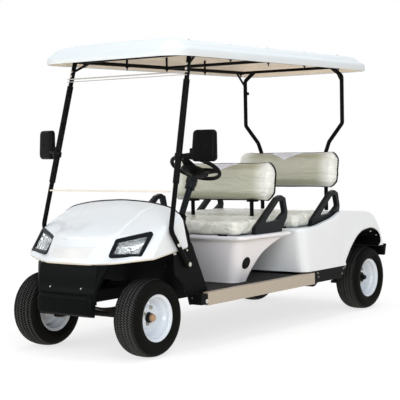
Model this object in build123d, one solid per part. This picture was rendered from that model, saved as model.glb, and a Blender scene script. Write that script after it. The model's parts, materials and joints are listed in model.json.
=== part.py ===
"""Four-seat electric golf cart.

Row frame: +Z up, front towards -Y, the driver's side (the cart's own left)
towards +X, origin at the centre of the footprint on the ground. Millimetres.
Stations along the cart are given behind the front axle, by aft().
"""
from build123d import *
from math import atan2, cos, radians, sin
import os

# ------------------------------------------------------------ driving sizes
WHEELBASE = 2428
FRONT_OVERHANG = 300          # front axle to the bumper's foremost point
REAR_OVERHANG = 262           # rear axle to the rear bumper's face
FRONT_TRACK = 830
REAR_TRACK = 980
GAP = 0.3                     # between a soft or curved piece and its seat
RUN = 0.08                    # radial running clearance of a bearing

# wheels and tyres
TYRE_R = 235
TYRE_HALF = 93                # half the section width
TYRE_SHOULDER_R = 42
BEAD_R = 127
FLANGE_R = 142
RIM_HALF = 76
RIM_WALL = 4
DISC_SET = 22                 # disc's outer face, outboard of the tyre's centre
DISC_T = 6
HUB_R = 38
HUB_HALF = 40
LUG_PCD = 101.6
LUG_COUNT = 4
LUG_R = 9
SPINDLE_R = 15
DRUM_R = 92
DRUM_W = 48

# front suspension and steering
KINGPIN_X = FRONT_TRACK / 2 - 115
KINGPIN_R = 10
EYE_R = 24
EYE_HALF = 34
YOKE_T = 12
YOKE_GAP = 1.0
ARM_BACK = 118                # steering arm's reach behind the kingpin
ARM_T = 12
TIE_R = 9
TIE_PIN_R = 6
AXLE_R = 24
SPRING_W = 46
SPRING_T = 22
SPRING_HALF = 222
SPRING_RISE = 46
LEAF_END_T = 10
REAR_SPRING_X = 300
DAMPER_R = 22
DAMPER_ROD_R = 9
DAMPER_X = 240
DAMPER_AHEAD = 90              # ahead of the rear axle

# rear axle
REAR_TUBE_R = 36
DIFF_R = 98
DIFF_W = 150

# frame
RAIL_X = 168                  # inside the front tyres at full lock
RAIL_W = 48
RAIL_H = 66
FLOOR_Z = 350                 # top of the mat
MAT_T = 6
PAN_T = 14
HALF_WIDTH = 588              # over the sills

# cowl
COWL_HALF = HALF_WIDTH - 83
COWL_WALL = 4
STRUT_R = 15
STRUT_X = HALF_WIDTH - 61       # lower run of the front struts
SLEEVE_R = 20

# roof
ROOF_Z = 1790
ROOF_SKIRT = 62
ROOF_CROWN = 72
ROOF_FRONT_HALF = 572
ROOF_REAR_HALF = 540
ROOF_FRONT = 120              # behind the front axle
ROOF_REAR = WHEELBASE + 138
ROOF_WALL = 5
ROOF_CORNER = 150

# seats
SEAT_HALF = 432
BACK_H = 258
BACK_T = 82
BACK_LEAN = 8
CUSHION_T = 100

# mirrors
MIRROR_X = 655
MIRROR_AFT = 276
MIRROR_Z = 1268
MIRROR_W = 150
MIRROR_H = 178
MIRROR_T = 40
MIRROR_TOE = 14

LENGTH = FRONT_OVERHANG + WHEELBASE + REAR_OVERHANG
FRONT_AXLE_Y = -LENGTH / 2 + FRONT_OVERHANG
REAR_AXLE_Y = FRONT_AXLE_Y + WHEELBASE
AXLE_Z = TYRE_R
RAIL_Z = FLOOR_Z - MAT_T - PAN_T - RAIL_H

os.makedirs("parts", exist_ok=True)


# ---------------------------------------------------------------- helpers
def aft(distance):
    """Y of a station behind the front axle."""
    return FRONT_AXLE_Y + distance


def from_rear(*points):
    """Outline given from the rear axle, as (station, z)."""
    return [(WHEELBASE + station, z) for station, z in points]


def save(node, *pieces):
    """Write one node's solids to its own STEP file."""
    solids = [solid for piece in pieces for solid in piece.solids()]
    shape = solids[0] if len(solids) == 1 else Compound(children=solids)
    export_step(shape, os.path.join("parts", node + ".step"))


def block(x, y, z):
    """Box between (low, high) pairs."""
    size = Box(x[1] - x[0], y[1] - y[0], z[1] - z[0])
    return Pos((x[0] + x[1]) / 2, (y[0] + y[1]) / 2, (z[0] + z[1]) / 2) * size


def other_side(piece):
    """The same piece on the cart's right."""
    return piece.mirror(Plane.YZ)


def rod(start, end, radius):
    """Round bar between two points."""
    start, end = Vector(*start), Vector(*end)
    way = end - start
    plane = Plane(origin=start, z_dir=way.normalized())
    return plane * Cylinder(radius, way.length, align=(Align.CENTER, Align.CENTER, Align.MIN))


def tube(points, radius, bend):
    """Round bar along straight runs joined by tangent bends."""
    path = FilletPolyline(*points, radius=bend)
    start = Plane(origin=path @ 0, z_dir=path % 0)
    return sweep(start * Circle(radius), path=path)


def side_plate(points, x, corner=0):
    """Outline in (station, z) carried across from x[0] to x[1]."""
    outline = [(aft(station), z) for station, z in points]
    if corner:
        wire = FilletPolyline(*outline, radius=corner, close=True)
    else:
        wire = Polyline(*outline, close=True)
    face = Plane(origin=(x[0], 0, 0), x_dir=(0, 1, 0), z_dir=(1, 0, 0)) * make_face(wire)
    return extrude(face, amount=x[1] - x[0], dir=(1, 0, 0))


def plan_plate(points, z, corner=0):
    """Outline in (x, station) carried up from z[0] to z[1]."""
    outline = [(x, aft(station)) for x, station in points]
    if corner:
        wire = FilletPolyline(*outline, radius=corner, close=True)
    else:
        wire = Polyline(*outline, close=True)
    face = Pos(0, 0, z[0]) * make_face(wire)
    return extrude(face, amount=z[1] - z[0], dir=(0, 0, 1))


def turned(profile, x, y, z):
    """Solid of revolution about an axle along X; profile is (along X, radius)."""
    face = make_face(Polyline(*profile, close=True))
    solid = revolve(face, Axis.X)
    return Pos(x, y, z) * solid


def ruled(sections):
    """Straight-sided loft through (x, [(station, z), ...]) sections."""
    faces = []
    for x, points in sections:
        outline = [(x, aft(station), z) for station, z in points]
        faces.append(make_face(Polyline(*outline, close=True)))
    return loft(faces, ruled=True)


# ------------------------------------------------------- wheels and tyres
def tyre():
    """Tyre centred on its own origin, turning about X."""
    shoulder = TYRE_SHOULDER_R
    tread = TYRE_HALF - shoulder
    half = RIM_HALF - RIM_WALL - GAP
    low = BEAD_R + GAP
    profile = [
        (-half, low), (-half, FLANGE_R + 2), (-TYRE_HALF, FLANGE_R + 30),
        (-TYRE_HALF, TYRE_R - shoulder), (-TYRE_HALF + 0.3 * shoulder, TYRE_R - 0.3 * shoulder),
        (-tread, TYRE_R), (tread, TYRE_R), (TYRE_HALF - 0.3 * shoulder, TYRE_R - 0.3 * shoulder),
        (TYRE_HALF, TYRE_R - shoulder), (TYRE_HALF, FLANGE_R + 30),
        (half, FLANGE_R + 2), (half, low), (half - 18, low), (half - 22, FLANGE_R - 2),
        (-half + 22, FLANGE_R - 2), (-half + 18, low),
    ]
    return turned(profile, 0, 0, 0)


def rim(outboard):
    """Steel wheel with its hub; outboard is +1 on the cart's left."""
    w = RIM_WALL
    drop = BEAD_R - 18
    disc = DISC_SET
    profile = [
        (RIM_HALF, FLANGE_R), (RIM_HALF, BEAD_R - w), (34, BEAD_R - w), (28, drop - w),
        (disc, drop - w), (disc, 74), (disc + 14, 60), (disc + 14, HUB_R),
        (HUB_HALF + 14, HUB_R), (HUB_HALF + 14, SPINDLE_R + RUN),
        (-HUB_HALF, SPINDLE_R + RUN), (-HUB_HALF, HUB_R), (disc + 14 - DISC_T, HUB_R),
        (disc + 14 - DISC_T, 60), (disc - DISC_T, 74), (disc - DISC_T, drop - w),
        (-28, drop - w), (-34, BEAD_R - w), (-RIM_HALF, BEAD_R - w), (-RIM_HALF, FLANGE_R),
        (-RIM_HALF + w, FLANGE_R), (-RIM_HALF + w, BEAD_R), (-36, BEAD_R), (-30, drop),
        (30, drop), (36, BEAD_R), (RIM_HALF - w, BEAD_R), (RIM_HALF - w, FLANGE_R),
    ]
    solid = turned([(outboard * along, r) for along, r in profile], 0, 0, 0)
    for index in range(LUG_COUNT):
        turn = radians(45 + 360 * index / LUG_COUNT)
        y, z = LUG_PCD / 2 * cos(turn), LUG_PCD / 2 * sin(turn)
        nut = (outboard * (disc + 14 - 2), y, z), (outboard * (disc + 14 + 16), y, z)
        solid = solid + rod(*nut, LUG_R)
    return solid


def drum():
    """Rear brake drum, its open side inboard, bolted to the wheel's hub end."""
    outer = -HUB_HALF - GAP
    profile = [
        (outer, SPINDLE_R + RUN), (outer, DRUM_R), (outer - DRUM_W, DRUM_R),
        (outer - DRUM_W, DRUM_R - 8), (outer - 8, DRUM_R - 8), (outer - 8, SPINDLE_R + RUN),
    ]
    return profile


WHEELS = (  # name, side, half track, axle station
    ("front_left", 1, FRONT_TRACK / 2, 0),
    ("front_right", -1, FRONT_TRACK / 2, 0),
    ("rear_left", 1, REAR_TRACK / 2, WHEELBASE),
    ("rear_right", -1, REAR_TRACK / 2, WHEELBASE),
)
for name, side, half_track, station in WHEELS:
    place = Pos(side * half_track, aft(station), AXLE_Z)
    save(name + "_tyre", place * tyre())
    save(name + "_rim", place * rim(side))
    if station:
        outline = [(side * along, radius) for along, radius in drum()]
        save(name + "_drum", turned(outline, side * half_track, aft(station), AXLE_Z))


# ------------------------------------------------- front axle and steering
def knuckle(side):
    """Yoke round the axle eye with kingpin, wheel spindle and steering arm."""
    x, y, z = side * KINGPIN_X, aft(0), AXLE_Z
    reach = EYE_HALF + YOKE_GAP
    out = side * (KINGPIN_X + EYE_R + 6)
    pieces = rod((x, y, z - reach - YOKE_T), (x, y, z + reach + YOKE_T), KINGPIN_R)
    for low in (z - reach - YOKE_T, z + reach):
        pieces += rod((x, y, low), (x, y, low + YOKE_T), EYE_R)
        cheek = (min(x, out), max(x, out))
        pieces += block(cheek, (y - 20, y + 20), (low, low + YOKE_T))
    web = (min(out, out - side * -10), max(out, out - side * -10))
    pieces += block(web, (y - 20, y + 20), (z - reach - YOKE_T, z + reach + YOKE_T))
    tip = side * (FRONT_TRACK / 2 + HUB_HALF + 6)
    pieces += rod((out, y, z), (tip, y, z), SPINDLE_R)
    top = z - reach - YOKE_T + ARM_T
    arm = block((x - 13, x + 13), (y, y + ARM_BACK), (top - ARM_T, top))
    end = rod((x, y + ARM_BACK, top - ARM_T), (x, y + ARM_BACK, top), 15)
    return pieces + arm + end


def arm_top():
    """Upper face of the steering arms, on which the tie rod's eyes ride."""
    return AXLE_Z - EYE_HALF - YOKE_GAP - YOKE_T + ARM_T


def front_axle():
    """Tube between the two kingpin eyes, with the spring pads."""
    y, z = aft(0), AXLE_Z
    beam = rod((-KINGPIN_X, y, z), (KINGPIN_X, y, z), AXLE_R - 4)
    for side in (1, -1):
        x = side * KINGPIN_X
        beam += rod((x, y, z - EYE_HALF), (x, y, z + EYE_HALF), EYE_R)
        pad = side * RAIL_X
        beam += block((pad - 30, pad + 30), (y - 36, y + 36), (z, z + AXLE_R))
    for side in (1, -1):
        x = side * KINGPIN_X
        beam -= rod((x, y, z - EYE_HALF - 1), (x, y, z + EYE_HALF + 1), KINGPIN_R + RUN)
    return beam


def tie_rod():
    """Bar between the steering arms; its right eye is the open pivot."""
    y, low = aft(ARM_BACK), arm_top() + YOKE_GAP
    z = low + TIE_R
    bar = rod((-KINGPIN_X, y, z), (KINGPIN_X, y, z), TIE_R - 1)
    for side in (1, -1):
        x = side * KINGPIN_X
        bar += rod((x, y, low), (x, y, low + 2 * TIE_R), 15)
    pin = KINGPIN_X
    bar -= rod((pin, y, low - 1), (pin, y, low + 2 * TIE_R + 1), TIE_PIN_R + RUN)
    bar -= rod((-pin, y, low - 1), (-pin, y, low + 2 * TIE_R + 1), TIE_PIN_R + 1.5)
    return bar


def tie_pin(side):
    """Ball stud that stands on a steering arm."""
    x, y, low = side * KINGPIN_X, aft(ARM_BACK), arm_top()
    head = low + YOKE_GAP + 2 * TIE_R + YOKE_GAP
    return rod((x, y, low - 1), (x, y, head), TIE_PIN_R) + rod((x, y, head), (x, y, head + 5), 11)


save("front_axle", front_axle())
save("knuckle_left", knuckle(1) + tie_pin(1))
save("knuckle_right", knuckle(-1) + tie_pin(-1))
save("tie_rod", tie_rod())


# --------------------------------------------------- springs and dampers
def leaf_spring(x, station, seat_z):
    """Shallow bow of leaves resting on its axle pad; ends stand higher."""
    low, half, rise = seat_z, SPRING_HALF, SPRING_RISE
    y = aft(station)
    under = ThreePointArc((y - half, low + rise), (y, low), (y + half, low + rise))
    end = low + rise + LEAF_END_T
    over = ThreePointArc((y + half, end), (y, low + SPRING_T), (y - half, end))
    ends = [Line(under @ 1, over @ 0), Line(over @ 1, under @ 0)]
    plane = Plane(origin=(x - SPRING_W / 2, 0, 0), x_dir=(0, 1, 0), z_dir=(1, 0, 0))
    face = plane * make_face([under, over, *ends])
    return extrude(face, amount=SPRING_W, dir=(1, 0, 0))


FRONT_PAD_Z = AXLE_Z + AXLE_R
REAR_PAD_Z = AXLE_Z + REAR_TUBE_R
springs = []
for side in (1, -1):
    springs.append(leaf_spring(side * RAIL_X, 0, FRONT_PAD_Z))
    springs.append(leaf_spring(side * REAR_SPRING_X, WHEELBASE, REAR_PAD_Z))
save("leaf_springs", *springs)

# ---------------------------------------------------------- front bumper
BUMPER_T = 7
BUMPER_LINE = (  # station, z down the face at the centre
    (-236, 560), (-250, 500), (-263, 420), (-272, 376), (-300, 352), (-300, 312), (-268, 258),
)
BUMPER_SWEEP = {0: 0, 150: 5, 240: 26, 330: 108}   # x: how far the face curves back
BUMPER_BOLT_X = 126
BUMPER_BOLT_Z = 417
BUMPER_BOLT_R = 4.5


def bumper():
    """Black nose panel under the cowl, narrower at its foot."""
    sections = []
    for x in sorted({-x for x in BUMPER_SWEEP} | set(BUMPER_SWEEP)):
        back = BUMPER_SWEEP[abs(x)]
        face = [(station + back, z) for station, z in BUMPER_LINE]
        rear = [(station + back + BUMPER_T, z) for station, z in reversed(BUMPER_LINE)]
        sections.append((x, face + rear))
    panel = ruled(sections)
    outline = [(-226, 250), (226, 250), (232, 380), (244, 430), (300, 562), (-300, 562),
               (-244, 430), (-232, 380)]
    plane = Plane(origin=(0, aft(-400), 0), x_dir=(1, 0, 0), z_dir=(0, -1, 0))
    front = extrude(plane * make_face(Polyline(*outline, close=True)), amount=400, dir=(0, 1, 0))
    panel = panel & front
    for x in (-BUMPER_BOLT_X, BUMPER_BOLT_X):
        panel -= rod((x, aft(-330), BUMPER_BOLT_Z), (x, aft(-200), BUMPER_BOLT_Z), BUMPER_BOLT_R)
    return panel


nose = bumper()
save("front_bumper", nose)

# ------------------------------------------------------------------ frame
RAIL_FRONT = -SPRING_HALF - 6
RAIL_REAR = WHEELBASE + SPRING_HALF
PAN_REAR = WHEELBASE - 418
HANGER_H = 20
HANGER_HALF = 14
SPRING_END = SPRING_RISE + LEAF_END_T + GAP       # a leaf end's top above its pad
FRONT_KICK_Z = FRONT_PAD_Z + SPRING_END + HANGER_H
REAR_KICK_Z = REAR_PAD_Z + 150
RAIL_LINE = (  # station, underside height
    (RAIL_FRONT, FRONT_KICK_Z), (300, FRONT_KICK_Z), (400, RAIL_Z), (PAN_REAR, RAIL_Z),
    (PAN_REAR + 120, REAR_KICK_Z), (RAIL_REAR, REAR_KICK_Z),
)
SHELF = (6, 36)               # rear hanger arms, above the rails' underside
CROSS_MEMBERS = (  # station, underside height
    (-200, FRONT_KICK_Z), (275, FRONT_KICK_Z), (430, RAIL_Z), (900, RAIL_Z),
    *from_rear((-968, RAIL_Z), (-438, RAIL_Z), (-278, REAR_KICK_Z), (142, REAR_KICK_Z)),
)


def chassis():
    """Two box rails, kicked up over each axle, with cross members."""
    under = list(RAIL_LINE)
    over = [(station, z + RAIL_H) for station, z in reversed(under)]
    inner, outer = RAIL_X - RAIL_W / 2, RAIL_X + RAIL_W / 2
    rail = side_plate(under + over, (inner, outer))
    frame = rail + other_side(rail)
    for station, z in CROSS_MEMBERS:
        y = aft(station)
        frame += block((-inner - 1, inner + 1), (y - 20, y + 20), (z + 6, z + RAIL_H - 6))
    shelf = (REAR_KICK_Z + SHELF[0], REAR_KICK_Z + SHELF[1])
    for side in (1, -1):
        x = side * RAIL_X
        far = side * (REAR_SPRING_X + 18)
        span = sorted((side * inner, far))
        post = sorted((far - side * 36, far))
        for end in (-1, 1):
            middle = end * (SPRING_HALF - HANGER_HALF)
            front = (aft(middle - HANGER_HALF), aft(middle + HANGER_HALF))
            rear = (front[0] + WHEELBASE, front[1] + WHEELBASE)
            foot = FRONT_KICK_Z - HANGER_H
            frame += block((x - 18, x + 18), front, (foot, FRONT_KICK_Z + 1))
            frame += block(span, rear, shelf)
            frame += block(post, rear, (REAR_PAD_Z + SPRING_END, shelf[0] + 1))
        y = aft(WHEELBASE - DAMPER_AHEAD)
        span = sorted((side * inner, side * (DAMPER_X + DAMPER_R)))
        frame += block(span, (y - HANGER_HALF, y + HANGER_HALF), shelf)
        span = sorted((side * (inner + 2), side * (outer - 2)))
        horn = block(span, (aft(-400), aft(RAIL_FRONT + 1)), (FRONT_KICK_Z + 6, FRONT_KICK_Z + RAIL_H - 6))
        horn -= Pos(0, GAP, 0) * nose
        frame += horn.solids().sort_by(Axis.Y)[-1]
    return frame


save("chassis_frame", chassis())

# ------------------------------------------------------------------ floor
TOE = 448                     # foot of the toe board
TOE_TOP = (325, 600)
REAR_FACE = WHEELBASE - 948   # front face of the rear body
SILL_FRONT = 376
SILL_REAR = WHEELBASE - 808
SILL_T = 30
SILL_Z = 272
PAN_HALF = HALF_WIDTH - SILL_T
PAN_Z = RAIL_Z + RAIL_H
COLUMN_X = 262
COLUMN_LEAN = 28              # degrees from upright
WHEEL_HUB = (700, 1108)       # station and height of the steering wheel's centre
COLUMN_R = 21
COLUMN_END = 700              # its foot, below the wheel's centre


def down_column(distance):
    """Point on the steering axis below the wheel's centre."""
    lean = radians(COLUMN_LEAN)
    station, z = WHEEL_HUB
    return COLUMN_X, aft(station - distance * sin(lean)), z - distance * cos(lean)


pan_line = [
    (PAN_REAR, PAN_Z), (TOE, PAN_Z), TOE_TOP, (TOE_TOP[0] + PAN_T, TOE_TOP[1]),
    (TOE + PAN_T, PAN_Z + PAN_T), (PAN_REAR, PAN_Z + PAN_T),
]
floor_pan = side_plate(pan_line, (-PAN_HALF, PAN_HALF))
floor_pan -= rod(down_column(COLUMN_END - 140), down_column(900), COLUMN_R + GAP)
mat_half = PAN_HALF - 14
GUARD_X = (HALF_WIDTH - 86, STRUT_X - STRUT_R - GAP)
toe_half = GUARD_X[0] - GAP
for low, high in ((toe_half, HALF_WIDTH), (-HALF_WIDTH, -toe_half)):
    floor_pan -= block((low, high), (aft(200), aft(TOE + PAN_T)), (PAN_Z + PAN_T, 620))
save("floor_pan", floor_pan)
mat_line = (aft(TOE + PAN_T + 6), aft(REAR_FACE - 6))
mat = block((-mat_half, mat_half), mat_line, (PAN_Z + PAN_T, FLOOR_Z))
save("floor_mat", mat)


def sill(low, high, z):
    """Side strip below the floor's edge."""
    return block((PAN_HALF, HALF_WIDTH), (aft(low), aft(high)), z)


lip_line = (aft(SILL_FRONT), aft(SILL_REAR))
lip = block((mat_half + 1, HALF_WIDTH), lip_line, (PAN_Z + PAN_T, FLOOR_Z + 2))
trim = sill(SILL_FRONT, SILL_REAR, (SILL_Z, PAN_Z + PAN_T)) + lip
save("sill_trims", trim, other_side(trim))

BODY_FOOT = FLOOR_Z + 14
SKIRT_REAR = WHEELBASE - 368
skirt_line = [
    (SILL_REAR + 1, SILL_Z + 6), (SKIRT_REAR - 60, SILL_Z + 6), (SKIRT_REAR, BODY_FOOT),
    (SILL_REAR + 1, BODY_FOOT),
]
skirt = side_plate(skirt_line, (PAN_HALF, HALF_WIDTH - 2))
save("rear_skirts", skirt, other_side(skirt))

# ------------------------------------------------------------------- cowl
HOOD = {  # x: bottom lip, fascia, brow, hood, rear edge, each (station, z)
    0: ((-250, 565), (-228, 640), (-175, 710), (80, 840), (270, 917)),
    190: ((-243, 566), (-185, 612), (-120, 712), (75, 815), (269, 907)),
    252: ((-212, 568), (-156, 593), (-90, 706), (75, 803), (267, 901)),
    COWL_HALF - 50: ((-112, 590), (-98, 610), (31, 745), (110, 792), (252, 858)),
    COWL_HALF: ((-48, 596), (-36, 622), (60, 726), (120, 762), (244, 800)),
}
COWL_REAR_FOOT = 290          # station of the side panel's lower rear corner
COWL_FOOT_RISE = 42


def cowl_sections(shift, trim):
    """Sections right across; shift moves them back and down, trim narrows them."""
    sections = []
    for x in sorted({-x for x in HOOD} | set(HOOD)):
        points = list(HOOD[abs(x)])
        foot = (COWL_REAR_FOOT, points[0][1] + COWL_FOOT_RISE)
        points.append(foot)
        place = x * (1 - trim / COWL_HALF)
        sections.append((place, [(station + shift, z - shift) for station, z in points]))
    return sections


cowl_outer = ruled(cowl_sections(0, 0))
cowl_inner = ruled(cowl_sections(COWL_WALL, COWL_WALL))
below = block((-COWL_HALF + COWL_WALL, COWL_HALF - COWL_WALL), (aft(-120), aft(400)), (500, 640))
cowl = cowl_outer - cowl_inner - below

LAMP = {  # corners of a headlight on the cowl: x, station, z
    "outer top": (455, 31, 745), "inner top": (252, -90, 706),
    "inner foot": (252, -156, 593), "outer foot": (455, -98, 610),
}
LAMP_DEPTH = 55
BEZEL_W = 17


def lamp_plane():
    """Plane through the middle of the left headlight, facing out."""
    corner = {name: Vector(x, aft(station), z) for name, (x, station, z) in LAMP.items()}
    across = corner["outer top"] + corner["outer foot"] - corner["inner top"] - corner["inner foot"]
    up = corner["outer top"] + corner["inner top"] - corner["outer foot"] - corner["inner foot"]
    middle = sum(corner.values(), Vector(0, 0, 0)) / 4
    return Plane(origin=middle, x_dir=across.normalized(), z_dir=across.cross(up).normalized()), corner


def lamp_face(inset):
    """Headlight outline on its plane, drawn in by inset, corners rounded."""
    plane, corner = lamp_plane()
    local = [plane.to_local_coords(point) for point in corner.values()]
    face = make_face(Polyline(*[(point.X, point.Y) for point in local], close=True))
    if inset:
        face = offset(face, amount=-inset, kind=Kind.INTERSECTION)
    return plane, fillet(face.vertices(), 12)


def lamp_prism(inset, low, high):
    """Headlight outline carried from low to high along its own normal."""
    plane, face = lamp_face(inset)
    return plane * (Pos(0, 0, low) * extrude(face, amount=high - low, dir=(0, 0, 1)))


pocket = lamp_prism(1, -80, 60)
cowl -= pocket
cowl -= other_side(pocket)
save("front_cowl", cowl)
bezel = lamp_prism(1, -LAMP_DEPTH, 5) - lamp_prism(BEZEL_W, -LAMP_DEPTH + 4, 6)
lens = lamp_prism(BEZEL_W + 0.2, -1, 3)
save("headlight_bezels", bezel, other_side(bezel))
save("headlight_lenses", lens, other_side(lens))

# ------------------------------------------------------------------- dash
DASH_HALF = COWL_HALF - 14
DASH_T = 14
DASH_KNEE_Z = 716
DASH_KNEES = {0: 402, 190: 402, 252: 402, COWL_HALF - 50: 362, COWL_HALF: 323}   # x: station
DASH_FOOT = (TOE_TOP[0] + 24, TOE_TOP[1] + GAP)
dash_sections = []
for x in sorted({-x for x in HOOD} | set(HOOD)):
    rear, top = HOOD[abs(x)][-1]
    knee = (DASH_KNEES[abs(x)], DASH_KNEE_Z)
    outside = [(rear + 1, top - 14), (rear + 46, top - 24), knee, DASH_FOOT]
    within = [(s - DASH_T, z - 7) for s, z in outside[::-1]]
    within[0] = (DASH_FOOT[0] - DASH_T, DASH_FOOT[1])
    dash_sections.append((x * DASH_HALF / COWL_HALF, outside + within))
dash = ruled(dash_sections)
save("dash", dash)

# ------------------------------------------------------------- leg guards
GUARD_ARCH_R = 290
arch = [(GUARD_ARCH_R * cos(radians(a)), AXLE_Z + GUARD_ARCH_R * sin(radians(a)))
        for a in (60, 40, 20)]
GUARD_FOOT_Z = 280
GUARD_REAR = 424
guard_line = arch + [(GUARD_ARCH_R, GUARD_FOOT_Z), (GUARD_REAR, GUARD_FOOT_Z),
                     (GUARD_REAR, FLOOR_Z + 2), (GUARD_REAR + 52, FLOOR_Z + 2), (402, 500),
                     (335, 632), (320, 660), (296, 652), (COWL_REAR_FOOT, 636), (145, 604)]
guard = side_plate(guard_line, GUARD_X)
foot_line = (aft(310), aft(SILL_FRONT))
guard += block((GUARD_X[1] - 1, HALF_WIDTH - 2), foot_line, (GUARD_FOOT_Z, PAN_Z + PAN_T))
save("leg_guards", guard, other_side(guard))

# ------------------------------------------------------ struts and roof
STRUT_TOP = (477, 371, 1796)
STRUT_FOOT = (STRUT_X, 97, 748)
STRUT_END = (STRUT_X, 262, 520)


def on_strut(z, ahead=0):
    """Point of the straight part of the front strut at a height."""
    share = (z - STRUT_FOOT[2]) / (STRUT_TOP[2] - STRUT_FOOT[2])
    x = STRUT_FOOT[0] + share * (STRUT_TOP[0] - STRUT_FOOT[0])
    station = STRUT_FOOT[1] + share * (STRUT_TOP[1] - STRUT_FOOT[1])
    return x, aft(station - ahead), z


SLEEVE_Z = (1030, 1655)
ROOF_RAIL_R = 13
ROOF_BAR_R = 11
ROOF_RAIL_Z = ROOF_Z + 26
ROOF_RAIL_X = 440
bar_x, bar_y, bar_z = on_strut(ROOF_RAIL_Z)
front_strut = tube([on_strut(ROOF_RAIL_Z - ROOF_BAR_R / 2), on_strut(STRUT_FOOT[2]),
                    (STRUT_END[0], aft(STRUT_END[1]), STRUT_END[2])], STRUT_R, 60)
front_strut += rod(on_strut(SLEEVE_Z[0]), on_strut(SLEEVE_Z[1]), SLEEVE_R)
front_strut -= rod((bar_x - 60, bar_y, bar_z), (bar_x + 60, bar_y, bar_z), ROOF_BAR_R + GAP)
save("front_struts", front_strut, other_side(front_strut))

REAR_STRUT = ((352, ROOF_RAIL_Z), (437, 1752), (437, 1400), (322, 1262), (290, 1180))
REAR_STRUT_AFT = WHEELBASE - 144
BRACE_R = 8
BRACE_FOOT_Z = 1750           # where the front braces leave their struts
ROOF_POSTS = (430, 860, 1300, WHEELBASE - 668, WHEELBASE - 198)    # bolts that carry the roof


def roof_half(station):
    """Half width of the roof, which tapers to the rear."""
    share = (station - ROOF_FRONT) / (ROOF_REAR - ROOF_FRONT)
    return ROOF_FRONT_HALF + share * (ROOF_REAR_HALF - ROOF_FRONT_HALF)


def roof_face(inset, z, corner):
    """Rounded roof outline at a height, drawn in by inset."""
    front, rear = roof_half(ROOF_FRONT) - inset, roof_half(ROOF_REAR) - inset
    low, high = aft(ROOF_FRONT + inset), aft(ROOF_REAR - inset)
    points = [(-front, low), (front, low), (rear, high), (-rear, high)]
    return Pos(0, 0, z) * make_face(FilletPolyline(*points, radius=corner, close=True))


def roof_solid(inset):
    """Crowned roof; inset gives the inner surface of the moulding, open below."""
    levels = ((8, 0), (0, 24), (0, ROOF_SKIRT), (34, ROOF_SKIRT + 28),
              (96, ROOF_SKIRT + 50), (190, ROOF_SKIRT + ROOF_CROWN))
    faces = []
    for draw, height in levels:
        drop = inset if height else min(inset, 1)
        corner = max(30, ROOF_CORNER - draw - inset)
        faces.append(roof_face(draw + inset, ROOF_Z + height - drop, corner))
    return loft(faces, ruled=True)


roof_inside = roof_solid(ROOF_WALL)
save("roof", roof_solid(0) - roof_inside)


def roof_frame():
    """Two rails under the roof, cross bars at the struts and bolts up to the roof."""
    x, z = ROOF_RAIL_X, ROOF_RAIL_Z
    rear = aft(REAR_STRUT_AFT - STRUT_R - ROOF_BAR_R - GAP)
    frame = rod((x, bar_y - 30, z), (x, rear + 12, z), ROOF_RAIL_R)
    for station in ROOF_POSTS:
        frame += rod((x, aft(station), z), (x, aft(station), z + 120), 8) & Pos(0, 0, -GAP) * roof_inside
    brace = rod(on_strut(BRACE_FOOT_Z), (x, bar_y + 110, z), BRACE_R)
    frame += brace - rod(on_strut(1650), on_strut(ROOF_Z), STRUT_R + GAP)
    strut_x, strut_y = REAR_STRUT[1][0], aft(REAR_STRUT_AFT)
    brace = rod((strut_x, strut_y, BRACE_FOOT_Z - 45), (x, strut_y - 112, z), BRACE_R)
    frame += brace - rod((strut_x, strut_y, 1600), (strut_x, strut_y, ROOF_Z), STRUT_R + GAP)
    frame += other_side(frame)
    frame += rod((-bar_x - 12, bar_y, z), (bar_x + 12, bar_y, z), ROOF_BAR_R)
    for y in (aft(1300), rear):
        frame += rod((-x, y, z), (x, y, z), ROOF_BAR_R)
    return frame


save("roof_frame", roof_frame())

# ------------------------------------------------------------- windshield
PANE_T = 5
PANE_HALF = 495
rake = atan2(STRUT_TOP[1] - STRUT_FOOT[1], STRUT_TOP[2] - STRUT_FOOT[2])
PANE_AHEAD = (SLEEVE_R + GAP) / cos(rake)
SPLIT_Z = 980
PANE_TOP = 1702


def pane(low, high):
    """Clear sheet ahead of the struts between two heights."""
    outline = [on_strut(low, PANE_AHEAD)[1:], on_strut(high, PANE_AHEAD)[1:]]
    outline += [(y - PANE_T, z) for y, z in reversed(outline)]
    wire = Polyline(*outline, close=True)
    face = Plane(origin=(-PANE_HALF, 0, 0), x_dir=(0, 1, 0), z_dir=(1, 0, 0)) * make_face(wire)
    return extrude(face, amount=2 * PANE_HALF, dir=(1, 0, 0))


lower = pane(770, SPLIT_Z - 3) - Pos(0, 0, GAP) * cowl_outer
lower = lower.solids().sort_by(Axis.Z)[-1]
save("windshield_upper", pane(SPLIT_Z + 3, PANE_TOP))
save("windshield_lower", lower)

# ---------------------------------------------------------------- mirrors
mirror_home = Pos(MIRROR_X, aft(MIRROR_AFT), MIRROR_Z) * Rot(0, 0, MIRROR_TOE)
head = fillet(Box(MIRROR_W, MIRROR_T, MIRROR_H).edges(), 15)
glass_pocket = Pos(0, MIRROR_T / 2, 0) * Box(MIRROR_W - 20, 8, MIRROR_H - 20)
head = mirror_home * (head - glass_pocket)
glass = mirror_home * (Pos(0, MIRROR_T / 2 - 2.5, 0) * Box(MIRROR_W - 21, 3, MIRROR_H - 21))
arm_z = MIRROR_Z - 62
stem = rod(on_strut(arm_z), (MIRROR_X - 40, aft(MIRROR_AFT - 8), arm_z + 6), 8)
head = head + stem - rod(on_strut(SLEEVE_Z[0]), on_strut(SLEEVE_Z[1]), SLEEVE_R + GAP)
head = head.solids().sort_by(SortBy.VOLUME)[-1]
save("mirror_heads", head, other_side(head))
save("mirror_glasses", glass, other_side(glass))

# --------------------------------------------------------------- steering
def aimed(distance):
    """Plane across the steering axis, a distance below the wheel's centre."""
    x, y, z = down_column(distance)
    lean = radians(COLUMN_LEAN)
    return Plane(origin=(x, y, z), x_dir=(1, 0, 0), z_dir=(0, sin(lean), cos(lean)))


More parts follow.
